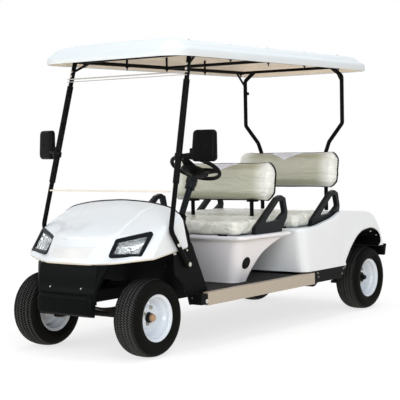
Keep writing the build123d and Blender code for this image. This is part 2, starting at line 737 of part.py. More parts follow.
SHAFT_R = 9
WHEEL_RIM_R = 160
WHEEL_GRIP_R = 13
HUB_DROP = 42
column = rod(down_column(HUB_DROP + 34), down_column(COLUMN_END), COLUMN_R)
column += rod(down_column(HUB_DROP + 34), down_column(HUB_DROP + 110), COLUMN_R + 12)
bracket = block((COLUMN_X - 16, COLUMN_X + 16), (aft(350), aft(495)), (704, 730)) - Pos(0, GAP, 0) * dash
column += bracket.solids().sort_by(Axis.Y)[-1]
column -= rod(down_column(HUB_DROP), down_column(HUB_DROP + 80), SHAFT_R + RUN)
save("steering_column", column)
ring = revolve(Pos(WHEEL_RIM_R, 0, 0) * (Rot(90, 0, 0) * Circle(WHEEL_GRIP_R)), Axis.Z)
wheel = ring + Pos(0, 0, -HUB_DROP / 2 - 8) * Cylinder(34, HUB_DROP)
for turn in (0, 120, 240):
    reach = Vector(WHEEL_RIM_R * sin(radians(turn)), -WHEEL_RIM_R * cos(radians(turn)), 0)
    wheel += rod((0, 0, -HUB_DROP / 2), tuple(reach), 9)
wheel += Pos(0, 0, -HUB_DROP - 30) * Cylinder(SHAFT_R, 60)
save("steering_wheel", aimed(0) * wheel)

# ----------------------------------------------------------------- pedals
pedals = []
for x, width in ((340, 52), (215, 84)):
    plate = block((x - width / 2, x + width / 2), (aft(436), aft(444)), (430, 530))
    arm = rod((x, aft(437), 470), (x, aft(384), 484), 7)
    pedals.append(plate + (arm - floor_pan))
save("pedals", *[p.solids().sort_by(SortBy.VOLUME)[-1] for p in pedals])

# --------------------------------------------------------- front seat pod
POD_RIM_Z = 662
POD_RIM_T = 26
POD_WALL = 5
POD_BASE = (446, 850)         # half width and front station at the floor
POD_TOP = (528, 796)
POD_RIM = (572, 772, 1378)    # half width, front and rear station
POD_REAR = ((1015, FLOOR_Z), (1036, 400), (1071, 456), (1131, 525), (1234, 584), (1340, 620))


def pod_loft(wall):
    """Tapered tub; with a wall, its inner surface, run out through the rim."""
    top_z = POD_RIM_Z + 4 if wall else POD_RIM_Z - POD_RIM_T + 1
    faces = []
    for (half, front), z in ((POD_BASE, FLOOR_Z + wall), (POD_TOP, top_z)):
        half, front = half - wall, aft(front + wall)
        back = aft(POD_REAR[-1][0] + 5)
        points = [(-half, front), (half, front), (half, back), (-half, back)]
        faces.append(Pos(0, 0, z) * make_face(FilletPolyline(*points, radius=70 - wall, close=True)))
    rear = [(station - wall, z + wall) for station, z in POD_REAR]
    line = [(700, FLOOR_Z - 5), (rear[0][0] - 2, FLOOR_Z - 5), *rear,
            (rear[-1][0], POD_RIM_Z + 20), (700, POD_RIM_Z + 20)]
    return loft(faces, ruled=True) & side_plate(line, (-700, 700))


half, front, rear = POD_RIM
rim_plan = [(-half, front), (half, front), (half, rear), (-half, rear)]
pod = pod_loft(0) + plan_plate(rim_plan, (POD_RIM_Z - POD_RIM_T, POD_RIM_Z), 60)
pod -= pod_loft(POD_WALL)
save("front_seat_pod", pod)

# -------------------------------------------------------------- rear body
BODY_HALF = HALF_WIDTH
BODY_WALL = 5
DECK_Z = 668
SHOULDER_X = 546              # inner edge of the raised side rims
SHOULDER = from_rear((-406, 764), (-13, 736))        # top behind the seat
BODY_LINE = [                 # station, z round the side
    *from_rear((-928, BODY_FOOT), (-964, 640), (-960, DECK_Z), (-758, 676), (-538, 718)),
    *SHOULDER,
    *from_rear((77, 702), (168, 622), (217, 560), (240, 500), (232, 470), (190, 470)),
]
ARCH_LINE = from_rear(        # round the wheel arch
    (190, 470), (160, 536), (122, 576), (72, 600), (6, 611), (-119, 598), (-205, 556),
    (-292, 474), (-378, BODY_FOOT),
)
BODY_REAR = WHEELBASE + 240
WELL_HALF = REAR_TRACK / 2 - TYRE_HALF - 25          # inner face of the wheel housings
STEP_REAR = WHEELBASE - 376
HATCH = (470, WHEELBASE - 868, WHEELBASE - 428)   # half width, front, rear of the opening under the cushion


def well(wall, inner_x, outer_x):
    """Wheel well following the arch, drawn in by wall, between two x."""
    line = [(s, z - wall) for s, z in ARCH_LINE]
    line[0] = (ARCH_LINE[0][0] - wall, BODY_FOOT - 40)
    line[-1] = (ARCH_LINE[-1][0] + wall, BODY_FOOT - 40)
    return side_plate(line, (inner_x, outer_x))


def rear_body():
    """Moulded shell over the rear axle, open below and at the wheels."""
    front, w = BODY_LINE[1][0], BODY_WALL
    plan = [(-BODY_HALF, front), (BODY_HALF, front), (BODY_HALF, BODY_REAR), (-BODY_HALF, BODY_REAR)]
    outer = side_plate(BODY_LINE + ARCH_LINE[1:], (-BODY_HALF, BODY_HALF))
    outer = outer & plan_plate(plan, (300, 800), 76)
    ahead = BODY_LINE[1][0] - 60
    step = [(ahead, DECK_Z), (ahead, 900), (STEP_REAR + 30, 900), (STEP_REAR + 14, 760),
            (STEP_REAR, DECK_Z)]
    outer -= side_plate(step, (-SHOULDER_X, SHOULDER_X))
    inside = [*from_rear((-923, BODY_FOOT), (-958, DECK_Z - w)), (STEP_REAR + w, DECK_Z - w),
              (STEP_REAR + 18, 754), *from_rear((-15, 736 - w), (74, 702 - w), (164, 622 - w)),
              *from_rear((212, 558), (234, 500), (226, 300), (-923, 300))]
    inner = side_plate(inside, (-BODY_HALF + w, BODY_HALF - w))
    half = BODY_HALF - w
    plan = [(-half, front + w), (half, front + w), (half, BODY_REAR - w), (-half, BODY_REAR - w)]
    body = outer - (inner & plan_plate(plan, (300, 800), 76 - w))
    half, front, rear = HATCH
    return body - block((-half, half), (aft(front), aft(rear)), (DECK_Z - 2 * w, DECK_Z + 1))


body = rear_body()
save("rear_body", body)
housing_x = (WELL_HALF, BODY_HALF - BODY_WALL - GAP)
housing = well(GAP, *housing_x) - well(GAP + BODY_WALL, WELL_HALF + BODY_WALL, BODY_HALF)
housing -= block(housing_x, (aft(HATCH[2]), aft(BODY_REAR + 30)), (BODY_FOOT - 50, BODY_FOOT + 1))
housing -= block(housing_x, (aft(WHEELBASE), aft(BODY_REAR + 30)), (BODY_FOOT - 50, ARCH_LINE[0][1]))
save("rear_wheel_housings", housing, other_side(housing))


# ------------------------------------------------------------ rear bumper
REAR_BUMPER_LINE = (          # station, z: a beam on the rails' ends with a raised lip
    (RAIL_REAR, 386), (BODY_REAR, 388), (LENGTH - FRONT_OVERHANG, 472), (BODY_REAR + 12, 474),
    (BODY_REAR + 4, 454),
    (RAIL_REAR, 454),
)
rear_bumper = side_plate(REAR_BUMPER_LINE, (-HALF_WIDTH + 8, HALF_WIDTH - 8))
save("rear_bumper", rear_bumper)

# ------------------------------------------------------- seats and posts
def cushion(front, rear, seat_z, half):
    """Seat cushion lying on its deck."""
    low = seat_z + GAP
    pad = block((-half, half), (aft(front), aft(rear)), (low, low + CUSHION_T))
    return fillet(pad.edges().filter_by(Axis.Z), 45)


def backrest(station, z):
    """Backrest whose front face passes a station at mid height z."""
    pad = Box(2 * SEAT_HALF, BACK_T, BACK_H)
    pad = fillet(pad.edges().filter_by(Axis.Y), 60)
    return Pos(0, aft(station) + BACK_T / 2, z) * (Rot(-BACK_LEAN, 0, 0) * pad)


HINGE_R = 6
HINGE_AHEAD = 8               # hinge line ahead of a cushion's front edge
FRONT_SEAT = (800, 1310)
REAR_SEAT = (WHEELBASE - 928, WHEELBASE - 443)
FRONT_BACK = (1305, 999)
REAR_BACK = (WHEELBASE - 276, 1058)
CUSHION_HALF = 486
save("front_cushion", cushion(*FRONT_SEAT, POD_RIM_Z, CUSHION_HALF))
save("rear_cushion", cushion(*REAR_SEAT, DECK_Z, CUSHION_HALF))
save("front_backrest", backrest(*FRONT_BACK))
save("rear_backrest", backrest(*REAR_BACK))

hinges = []
for (front, rear), seat_z in ((FRONT_SEAT, POD_RIM_Z), (REAR_SEAT, DECK_Z)):
    y, z = aft(front - HINGE_AHEAD), seat_z + HINGE_R
    for x in (-400, 400):
        barrel = rod((x - 35, y, z), (x + 35, y, z), HINGE_R - 0.5)
        hinges.append(barrel + block((x - 35, x + 35), (y - 5, y + 5), (seat_z, z)))
save("seat_hinges", *hinges)

POST_R = 14
post_top = FRONT_BACK[1] - BACK_H / 2
posts = []
for x in (256, -256):
    post = rod((x, aft(1340), POD_RIM_Z), (x, aft(1340), post_top), POST_R)
    post += block((x - 30, x + 30), (aft(1322), aft(1380)), (post_top - 14, post_top + 10))
    posts.append(post - Pos(0, 0, -GAP) * backrest(*FRONT_BACK))
save("front_back_posts", *posts)

REAR_ARM_Z = (990, 1120)


def rear_strut():
    """Bent strut from the deck to the roof, with two arms to the backrest."""
    ahead = REAR_STRUT_AFT - STRUT_R
    (low, low_z), (high, high_z) = SHOULDER
    deck = low_z + (ahead - low) / (high - low) * (high_z - low_z)
    line = list(REAR_STRUT) + [(REAR_STRUT[-1][0], deck + GAP)]
    strut = tube([(x, aft(REAR_STRUT_AFT), z) for x, z in line], STRUT_R, 34)
    for z in REAR_ARM_Z:
        x, y = REAR_STRUT[-1][0], aft(ahead)
        arm = block((x - 25, x + 25), (y - 90, y + 6), (z - 20, z + 20))
        arm -= Pos(0, GAP, 0) * backrest(*REAR_BACK)
        strut += arm.solids().sort_by(Axis.Y)[-1]
    return strut


save("rear_struts", rear_strut(), other_side(rear_strut()))


def hip_restraint(station, z):
    """Triangular loop standing on the rim beside a cushion."""
    outer = [(0, 0), (8, 44), (262, 232), (318, 246), (368, 225), (392, 127), (382, 86),
             (322, 18), (318, 0)]
    inner = [(104, 66), (286, 206), (332, 212), (356, 130), (272, 80)]
    outer = [(station + s, z + h) for s, h in outer]
    inner = [(station + s, z + h) for s, h in inner]
    loop = side_plate(outer, (505, 537), 10) - side_plate(inner, (500, 540), 10)
    return loop


RESTRAINT_AFT = 170           # behind a cushion's front edge
loops = []
for (front, rear), seat_z in ((FRONT_SEAT, POD_RIM_Z), (REAR_SEAT, DECK_Z)):
    loop = hip_restraint(front + RESTRAINT_AFT, seat_z)
    loops += [loop, other_side(loop)]
save("hip_restraints", *loops)

# ------------------------------------------------------------ taillights
lamp_line = from_rear((176, 612.5), (209, 570.5), (221, 578), (187, 621))
lamp = side_plate(lamp_line, (388, 492))
save("taillights", lamp, other_side(lamp))

# ---------------------------------------------------- battery and drive
DAMPER_LUG_Z = AXLE_Z + 10
save("battery_pack", block((-300, 300), (aft(HATCH[1]), aft(REAR_SEAT[1])), (PAN_Z + PAN_T, 610)))


def rear_axle():
    """Axle tube, differential case and motor in one, with spring pads."""
    y, z = aft(WHEELBASE), AXLE_Z
    end = REAR_TRACK / 2 - HUB_HALF - DRUM_W - 8
    axle = rod((-end, y, z), (end, y, z), REAR_TUBE_R)
    axle += rod((-DIFF_W / 2, y, z), (DIFF_W / 2, y, z), DIFF_R)
    axle += rod((DIFF_W / 2 - 10, y - 60, z + 40), (DIFF_W / 2 + 60, y - 60, z + 40), 60)
    tip = REAR_TRACK / 2 + HUB_HALF + 8
    axle += rod((-tip, y, z), (tip, y, z), SPINDLE_R)
    for side in (1, -1):
        x = side * REAR_SPRING_X
        axle += block((x - 30, x + 30), (y - 50, y + 50), (z, z + REAR_TUBE_R))
        under = (z - REAR_TUBE_R - 14, z - REAR_TUBE_R + 4)
        axle += block((x - 30, x + 30), (y - 60, y + 60), under)
        x = side * DAMPER_X
        lug = (DAMPER_LUG_Z - 16, DAMPER_LUG_Z)
        axle += block((x - 20, x + 20), (y - DAMPER_AHEAD - 20, y), lug)
    return axle


save("rear_axle", rear_axle())
dampers = []
for x in (DAMPER_X, -DAMPER_X):
    y = aft(WHEELBASE - DAMPER_AHEAD)
    foot, head = DAMPER_LUG_Z + GAP, REAR_KICK_Z + SHELF[0] - GAP
    damper = rod((x, y, foot), (x, y, foot + 90), DAMPER_R) + rod((x, y, foot), (x, y, head), DAMPER_ROD_R)
    dampers.append(damper)
save("dampers", *dampers)
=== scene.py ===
import bpy
import bmesh
import json
from contextlib import contextmanager
from math import atan2, cos, hypot, pi, radians, sin, tan, tau
from mathutils import Matrix, Vector, noise

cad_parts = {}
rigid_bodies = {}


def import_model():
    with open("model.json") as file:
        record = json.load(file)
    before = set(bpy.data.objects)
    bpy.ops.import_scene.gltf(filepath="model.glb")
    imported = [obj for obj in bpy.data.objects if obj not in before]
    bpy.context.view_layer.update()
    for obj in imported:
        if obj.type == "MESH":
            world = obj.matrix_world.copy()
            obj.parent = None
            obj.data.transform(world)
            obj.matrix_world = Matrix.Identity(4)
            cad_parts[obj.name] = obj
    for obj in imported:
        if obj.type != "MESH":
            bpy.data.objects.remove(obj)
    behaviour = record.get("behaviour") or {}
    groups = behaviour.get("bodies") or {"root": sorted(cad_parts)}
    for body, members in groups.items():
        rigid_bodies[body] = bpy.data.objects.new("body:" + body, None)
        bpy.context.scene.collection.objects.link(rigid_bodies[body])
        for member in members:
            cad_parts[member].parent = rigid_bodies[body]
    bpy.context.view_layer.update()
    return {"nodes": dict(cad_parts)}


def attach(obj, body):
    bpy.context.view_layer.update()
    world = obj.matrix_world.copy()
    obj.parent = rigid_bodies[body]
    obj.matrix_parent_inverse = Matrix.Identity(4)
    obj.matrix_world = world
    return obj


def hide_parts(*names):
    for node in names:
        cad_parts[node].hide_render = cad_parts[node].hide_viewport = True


for leftover in list(bpy.data.objects):
    bpy.data.objects.remove(leftover)
bpy.context.scene.view_settings.view_transform = "Standard"
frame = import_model()
node = frame["nodes"]

# ---------------------------------------------------------------- studio
# A pale floor, two big soft lamps, a low one and one overhead, and a long
# lens set three-quarters on to the front corner on the driver's side.
CAMERA_AT = Vector((4.8319, -6.4981, 1.2491))
CAMERA_TURN, CAMERA_PITCH, CAMERA_ROLL = 0.6475, -0.0464, -0.0188
FOCAL_PIXELS = 1164.46
FRAME_PIXELS = 400
SENSOR = 36
FLOOR_HALF = 14.0
FLOOR_FADE = (1.7, 3.3)            # metres from the middle, shadow tone to plain white
WHITE = (1, 1, 1, 1)


def aim_camera():
    ahead = Vector((-sin(CAMERA_TURN) * cos(CAMERA_PITCH), cos(CAMERA_TURN) * cos(CAMERA_PITCH),
                    sin(CAMERA_PITCH)))
    right = ahead.cross(Vector((0, 0, 1))).normalized()
    up = right.cross(ahead)
    across = right * cos(CAMERA_ROLL) + up * sin(CAMERA_ROLL)
    over = -right * sin(CAMERA_ROLL) + up * cos(CAMERA_ROLL)
    data = bpy.data.cameras.new("camera")
    data.sensor_width = SENSOR
    data.lens = SENSOR * FOCAL_PIXELS / FRAME_PIXELS
    data.clip_end = 100
    camera = bpy.data.objects.new("camera", data)
    camera.matrix_world = Matrix.Translation(CAMERA_AT) @ Matrix((across, over, -ahead)).transposed().to_4x4()
    bpy.context.collection.objects.link(camera)
    bpy.context.scene.camera = camera


def area_lamp(name, place, target, size, power):
    data = bpy.data.lights.new(name, "AREA")
    data.shape = "RECTANGLE"
    data.size, data.size_y = size
    data.energy = power
    lamp = bpy.data.objects.new(name, data)
    lamp.location = place
    lamp.rotation_euler = (Vector(target) - Vector(place)).to_track_quat("-Z", "Y").to_euler()
    bpy.context.collection.objects.link(lamp)


def feed(step, sockets):
    """Sets a shader node's inputs by name or number: links a socket, stores anything else."""
    for label, value in sockets.items():
        if isinstance(value, bpy.types.NodeSocket):
            step.id_data.links.new(value, step.inputs[label])
        else:
            step.inputs[label].default_value = value
    return step


def add_node(tree, kind, sockets=None, **settings):
    step = tree.nodes.new("ShaderNode" + kind)
    for label, value in settings.items():
        setattr(step, label, value)
    return feed(step, sockets or {})


def math_node(tree, operation, first, second=0, clamp=False):
    return add_node(tree, "Math", {0: first, 1: second}, operation=operation, use_clamp=clamp).outputs[0]


def seen_white(tree, shown, hidden):
    """Shows one shader to the camera, mirrors and glass, and another to the rest."""
    path = add_node(tree, "LightPath").outputs
    either = math_node(tree, "MAXIMUM", path["Is Camera Ray"], path["Is Transmission Ray"])
    seen = math_node(tree, "MAXIMUM", either, path["Is Glossy Ray"])
    return add_node(tree, "MixShader", {0: seen, 1: hidden.outputs[0], 2: shown.outputs[0]})


def glowing_paper(tree, colour, glow_colour, glow):
    lamp = add_node(tree, "Emission", {"Color": glow_colour, "Strength": glow})
    paper = add_node(tree, "BsdfDiffuse", {"Color": colour})
    return add_node(tree, "AddShader", {0: lamp.outputs[0], 1: paper.outputs[0]})


def lay_floor():
    bpy.ops.mesh.primitive_plane_add(size=2 * FLOOR_HALF, location=(0, 0, -0.001))
    floor = bpy.context.object
    floor.name = "floor"
    material = bpy.data.materials.new("floor_paper")
    material.use_nodes = True
    tree = material.node_tree
    tree.nodes.clear()
    place = add_node(tree, "TexCoord").outputs["Object"]
    reach = add_node(tree, "VectorMath", {0: place}, operation="LENGTH").outputs["Value"]
    fade = add_node(tree, "MapRange", {"From Min": FLOOR_FADE[0], "From Max": FLOOR_FADE[1], "Value": reach},
                    interpolation_type="SMOOTHSTEP")
    near = glowing_paper(tree, (0.36, 0.355, 0.35, 1), WHITE, 0.72)
    bare = add_node(tree, "Emission", {"Color": WHITE, "Strength": 1.0})
    shown = add_node(tree, "MixShader", {0: fade.outputs["Result"], 1: near.outputs[0], 2: bare.outputs[0]})
    lit = glowing_paper(tree, (0.70, 0.62, 0.53, 1), (1.0, 0.90, 0.78, 1), 0.42)
    add_node(tree, "OutputMaterial", {"Surface": seen_white(tree, shown, lit).outputs[0]})
    floor.data.materials.append(material)


def hang_world():
    world = bpy.data.worlds.new("studio")
    bpy.context.scene.world = world
    world.use_nodes = True
    tree = world.node_tree
    tree.nodes.clear()
    backdrop = add_node(tree, "Background", {"Color": WHITE, "Strength": 1.0})
    ambient = add_node(tree, "Background", {"Color": (0.93, 0.96, 1.0, 1), "Strength": 0.50})
    add_node(tree, "OutputWorld", {"Surface": seen_white(tree, backdrop, ambient).outputs[0]})


aim_camera()
lay_floor()
hang_world()
area_lamp("key_lamp", (5.5, -4.5, 4.6), (0, -0.3, 0.8), (3.6, 3.0), 178)
area_lamp("fill_lamp", (-3.5, -6.5, 2.8), (0, -0.6, 0.8), (4.0, 3.0), 105)
area_lamp("front_lamp", (3.4, -7.2, 1.1), (0.3, -0.4, 0.5), (3.4, 1.6), 135)
area_lamp("top_lamp", (0.4, 0.3, 6.2), (0, 0.1, 0), (5.0, 5.0), 165)

# ---------------------------------------------------------------- chassis
# Two box rails with cross members and outriggers, welded from pressed
# steel and painted satin black, with the springs' hangers under them.
BLACK_STEEL = (0.0038, 0.0040, 0.0042)
FRONT_AXLE_AT = 1195               # mm from the middle of the cart to the front axle
LOW_DUST = (0.62, 0.02)            # heights in metres between which dust builds up


def at(x, station, z):
    """Point in metres from x, the distance behind the front axle and z in mm."""
    return Vector((x, station - FRONT_AXLE_AT, z)) / 1000


def shade_group(name, ins, outs):
    """Empty node group with named sockets; floats unless a colour is given."""
    group = bpy.data.node_groups.new(name, "ShaderNodeTree")
    kinds = {float: "NodeSocketFloat", tuple: "NodeSocketColor"}
    for label, start in ins.items():
        socket = group.interface.new_socket(label, in_out="INPUT", socket_type=kinds[type(start)])
        socket.default_value = (*start, 1) if type(start) is tuple else start
    for label, kind in outs.items():
        group.interface.new_socket(label, in_out="OUTPUT", socket_type=kinds[kind])
    return group, group.nodes.new("NodeGroupInput").outputs, group.nodes.new("NodeGroupOutput")


def blend_colours(tree, share, one, two):
    return add_node(tree, "Mix", {"Factor": share, "A": one, "B": two}, data_type="RGBA").outputs["Result"]


def cloud_node(tree, vector, scale, detail=2, **more):
    return add_node(tree, "TexNoise", {"Vector": vector, "Scale": scale, "Detail": detail, **more}).outputs["Fac"]


def wear_and_sheen_group():
    """Colour and roughness that wander a little, with dust low down and lighter convex edges, partly rubbed wear
    and partly a painted edge sheen.
    """
    group, given, out = shade_group("finish_wear_and_sheen", {
        "Base": (0.5, 0.5, 0.5), "Rubbed_and_sheen": (0.6, 0.6, 0.6), "Dusty": (0.35, 0.32, 0.28),
        "Mottle": 0.06, "Edges": 0.0, "Dust": 0.0, "Rough": 0.5, "Patch": 6.0,
    }, {"Color": tuple, "Roughness": float})
    place = add_node(group, "TexCoord").outputs["Object"]
    centred = math_node(group, "SUBTRACT", cloud_node(group, place, given["Patch"], 5), 0.5)
    swing = math_node(group, "MULTIPLY", centred, given["Mottle"])
    level = math_node(group, "ADD", math_node(group, "MULTIPLY", swing, 2.0), 1.0)
    tone = add_node(group, "VectorMath", {0: given["Base"], "Scale": level}, operation="SCALE").outputs[0]
    # Convex edges are mixed towards the edge colour: partly rubbed wear, partly a painted sheen along the edges.
    corners = add_node(group, "NewGeometry").outputs["Pointiness"]
    edge = add_node(group, "MapRange", {"From Min": 0.53, "From Max": 0.62, "Value": corners})
    rub_and_sheen = math_node(group, "MULTIPLY", edge.outputs["Result"], given["Edges"], True)
    worn_and_sheened = blend_colours(group, rub_and_sheen, tone, given["Rubbed_and_sheen"])
    height = add_node(group, "SeparateXYZ", {0: place}).outputs["Z"]
    low = add_node(group, "MapRange", {"From Min": LOW_DUST[0], "From Max": LOW_DUST[1], "Value": height})
    drift = math_node(group, "MULTIPLY", low.outputs["Result"], cloud_node(group, place, 90, 4))
    dust = math_node(group, "MULTIPLY", drift, given["Dust"], True)
    rough = math_node(group, "ADD", given["Rough"], swing)
    rough = math_node(group, "ADD", rough, math_node(group, "MULTIPLY", dust, 0.3), True)
    feed(out, {"Color": blend_colours(group, dust, worn_and_sheened, given["Dusty"]), "Roughness": rough})
    return group


def grain_group():
    """Height of a moulded or sprayed grain: fine pebbles over slow waves."""
    group, given, out = shade_group("surface_grain", {"Scale": 300.0, "Waves": 0.3}, {"Height": float})
    place = add_node(group, "TexCoord").outputs["Object"]
    pebble = add_node(group, "TexVoronoi", {"Vector": place, "Scale": given["Scale"]}).outputs["Distance"]
    wave = math_node(group, "MULTIPLY", cloud_node(group, place, 9, 2), given["Waves"])
    feed(out, {"Height": math_node(group, "ADD", pebble, wave)})
    return group


finish_wear_and_sheen = wear_and_sheen_group()
surface_grain = grain_group()


def new_material(name):
    material = bpy.data.materials.new(name)
    material.use_nodes = True
    return material, material.node_tree, material.node_tree.nodes["Principled BSDF"]


def bumped(tree, height, strength, distance, **settings):
    """Normal of a bumpy surface."""
    return add_node(tree, "Bump", {"Strength": strength, "Distance": distance, "Height": height},
                    **settings).outputs["Normal"]


def finish(name, base, rough, mottle=0.06, edges=0.0, rubbed_and_sheen=(0.5, 0.5, 0.5), dust=0.0,
           dusty=(0.30, 0.27, 0.23), patch=6.0, grain=0.0, grain_scale=300.0, waves=0.3,
           metallic=0.0, coat=0.0, specular=0.5):
    """Painted, moulded or plated finish built on the wear-and-sheen group and the grain group."""
    material, tree, shader = new_material(name)
    wear_and_sheen = add_node(tree, "Group", node_tree=finish_wear_and_sheen)
    feed(wear_and_sheen, {"Base": (*base, 1), "Rubbed_and_sheen": (*rubbed_and_sheen, 1), "Dusty": (*dusty, 1), "Mottle": mottle,
                "Edges": edges, "Dust": dust, "Rough": rough, "Patch": patch})
    feed(shader, {"Base Color": wear_and_sheen.outputs["Color"], "Roughness": wear_and_sheen.outputs["Roughness"],
                  "Metallic": metallic, "Specular IOR Level": specular, "Coat Weight": coat,
                  "Coat Roughness": 0.08})
    if grain:
        relief = feed(add_node(tree, "Group", node_tree=surface_grain), {"Scale": grain_scale, "Waves": waves})
        feed(shader, {"Normal": bumped(tree, relief.outputs["Height"], grain, 0.0006)})
    return material


def dress(material, *names):
    """Puts a finish on CAD nodes' own meshes."""
    for name in names:
        mesh = node[name].data
        mesh.materials.clear()
        mesh.materials.append(material)


def add_modifier(piece, kind, **settings):
    change = piece.modifiers.new(kind.lower(), kind)
    for label, value in settings.items():
        setattr(change, label, value)
    return change


def soften(name, width, turns=2, limit=35):
    """Rounds a CAD node's edges with live modifiers; the mesh itself is untouched."""
    piece = node[name]
    add_modifier(piece, "WELD", merge_threshold=0.00005)
    add_modifier(piece, "DECIMATE", decimate_type="DISSOLVE", angle_limit=radians(1))
    add_modifier(piece, "BEVEL", width=width, segments=turns, limit_method="ANGLE",
                 angle_limit=radians(limit), harden_normals=False)


frame_paint = finish("satin_black_frame_paint", BLACK_STEEL, 0.36, 0.12, 0.25, (0.02, 0.02, 0.02),
                     0.12, (0.03, 0.025, 0.02), patch=9, grain=0.35, grain_scale=420, specular=0.03)
dress(frame_paint, "chassis_frame", "front_struts", "rear_struts", "roof_frame", "front_back_posts",
      "seat_hinges")
soften("chassis_frame", 0.003)


# ------------------------------------------------------------------ tyres
# Low-pressure turf tyres, moulded black rubber with a round crown and wavy
# sipes across the tread; each is pressed over the rim's bead seats.
TYRE_RUBBER = (0.0044, 0.0046, 0.0044)
WHEELS = {  # body: centre in metres, side
    "front_left": ((0.415, -1.195, 0.235), 1), "front_right": ((-0.415, -1.195, 0.235), -1),
    "rear_left": ((0.490, 1.233, 0.235), 1), "rear_right": ((-0.490, 1.233, 0.235), -1),
}
TREAD_HALF = 80
TREAD_STEPS = 54
SIPES = 96
SIPE_DEPTH = 5.0
TYRE_STEPS = 480


def start_clean():
    if bpy.context.object and bpy.context.object.mode != "OBJECT":
        bpy.ops.object.mode_set(mode="OBJECT")
    bpy.ops.object.select_all(action="DESELECT")


def pick(piece):
    """Makes a piece the only selected one."""
    start_clean()
    piece.select_set(True)
    bpy.context.view_layer.objects.active = piece


@contextmanager
def editing(piece, chosen=None):
    """Edit mode on a piece, with the vertices or faces that pass a test selected, or else all."""
    pick(piece)
    bpy.ops.object.mode_set(mode="EDIT")
    choose(piece, chosen)
    yield
    bpy.ops.object.mode_set(mode="OBJECT")


def choose(piece, chosen=None, kind="verts"):
    """Selects what passes a test in edit mode."""
    bpy.ops.mesh.select_all(action="DESELECT" if chosen else "SELECT")
    if chosen:
        shape = bmesh.from_edit_mesh(piece.data)
        for element in getattr(shape, kind):
            if chosen(element):
                element.select = True
        shape.select_flush(True)
        bmesh.update_edit_mesh(piece.data)


def apply_modifier(piece, kind, **settings):
    change = add_modifier(piece, kind, **settings)
    bpy.context.view_layer.objects.active = piece
    bpy.ops.object.modifier_apply(modifier=change.name)


def settle(piece, material, body, slot_name, *stands_for, smooth=35):
    """Finishes a piece: place applied, shading, finish and body; the slot name is not used."""
    pick(piece)
    bpy.ops.object.transform_apply(location=True, rotation=True, scale=True)
    bpy.ops.object.shade_smooth_by_angle(angle=radians(smooth))
    piece.data.materials.clear()
    piece.data.materials.append(material)
    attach(piece, body)
    if stands_for:
        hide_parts(*stands_for)
    return piece


def twin(piece, name, change):
    """Copy of a piece with its own mesh, its points moved by a matrix."""
    copy = piece.copy()
    copy.data = piece.data.copy()
    copy.name = name
    bpy.context.collection.objects.link(copy)
    copy.data.transform(change)
    if change.determinant() < 0:
        copy.data.flip_normals()
    return copy


def turned(name, outline, steps):
    """Closed outline turned right round the X axis; its points are mm along it and mm from it."""
    start_clean()
    bpy.ops.mesh.primitive_circle_add(vertices=len(outline))
    piece = bpy.context.object
    piece.name = name
    for corner, (along, out) in zip(piece.data.vertices, outline):
        corner.co = (along / 1000, 0, out / 1000)
    with editing(piece):
        bpy.ops.mesh.spin(steps=steps, angle=tau, center=(0, 0, 0), axis=(1, 0, 0))
        bpy.ops.mesh.select_all(action="SELECT")
        bpy.ops.mesh.remove_doubles(threshold=1e-6)
        bpy.ops.mesh.normals_make_consistent(inside=False)
    return piece


def stood(piece, place, way, axis="X", over="Z"):
    """Turns a piece's own axis to a direction and moves it to a place."""
    piece.data.transform(Matrix.Translation(Vector(place))
                         @ Vector(way).to_track_quat(axis, over).to_matrix().to_4x4())
    return piece


def hermite(xs, ys, x):
    """Smooth curve through points, flat past the ends, never past its neighbours."""
    if x <= xs[0]:
        return ys[0]
    if x >= xs[-1]:
        return ys[-1]
    i = max(k for k in range(len(xs)) if xs[k] <= x)
    slopes = [(ys[k + 1] - ys[k]) / (xs[k + 1] - xs[k]) for k in range(len(xs) - 1)]

    def lean(k):
        if k == 0 or k == len(xs) - 1:
            return slopes[min(k, len(slopes) - 1)]
        a, b = slopes[k - 1], slopes[k]
        return 0 if a * b <= 0 else 2 * a * b / (a + b)
    width = xs[i + 1] - xs[i]
    u = (x - xs[i]) / width
    return ((2 * u ** 3 - 3 * u ** 2 + 1) * ys[i] + (u ** 3 - 2 * u ** 2 + u) * width * lean(i)
            + (3 * u ** 2 - 2 * u ** 3) * ys[i + 1] + (u ** 3 - u ** 2) * width * lean(i + 1))


def tyre_outline():
    crown_x = (0, 25, 50, 68, TREAD_HALF)
    crown_r = (235, 234.2, 231, 225, 217)
    points = []
    for k in range(TREAD_STEPS + 1):
        x = -TREAD_HALF + 2 * TREAD_HALF * k / TREAD_STEPS
        points.append((x, hermite(crown_x, crown_r, abs(x))))
    side = [(85, 211.5), (89, 204), (91.5, 195), (93, 184), (92.6, 172), (90.4, 164), (88.6, 162.4),
            (88.2, 159), (86, 151), (82.5, 146.5), (79, 144.4), (75.5, 143.4), (71, 143.2), (67.8, 141),
            (66.8, 138.5), (65.8, 133), (64.5, 129.2), (58, 128.6)]
    points += side + [(58, 142), (79, 166), (82, 190), (68, 212), (0, 222), (-68, 212), (-82, 190),
                      (-79, 166), (-58, 142)] + [(-x, r) for x, r in side[::-1]]
    return points


def sipe_turn(x, y, z):
    """How far round the tread a point is, counted in sipes that wave across it."""
    return atan2(y, z) / tau * SIPES + 0.55 * sin(x / 26 * tau) + 0.03 * x


def cut_sipes(mesh):
    for corner in mesh.vertices:
        x, y, z = corner.co * 1000
        reach = hypot(y, z)
        if abs(x) < TREAD_HALF - 1 and reach > 213:
            turn = sipe_turn(x, y, z)
            off = abs(turn % 1 - 0.5)
            cut = SIPE_DEPTH * max(0, 1 - off / 0.24)
            fade = min(1, (TREAD_HALF - abs(x)) / 10)
            rib = 1.6 * max(0, 1 - abs(abs(x) - 36) / 3.2)
            corner.co.yz *= (reach - cut * fade - rib) / reach
        elif 195 < reach and abs(x) >= TREAD_HALF - 1:
            turn = atan2(y, z) / tau * SIPES
            corner.co.yz *= (reach - 1.5 * max(0, 1 - abs(turn % 1 - 0.5) / 0.25)
                             * min(1, (reach - 195) / 10)) / reach
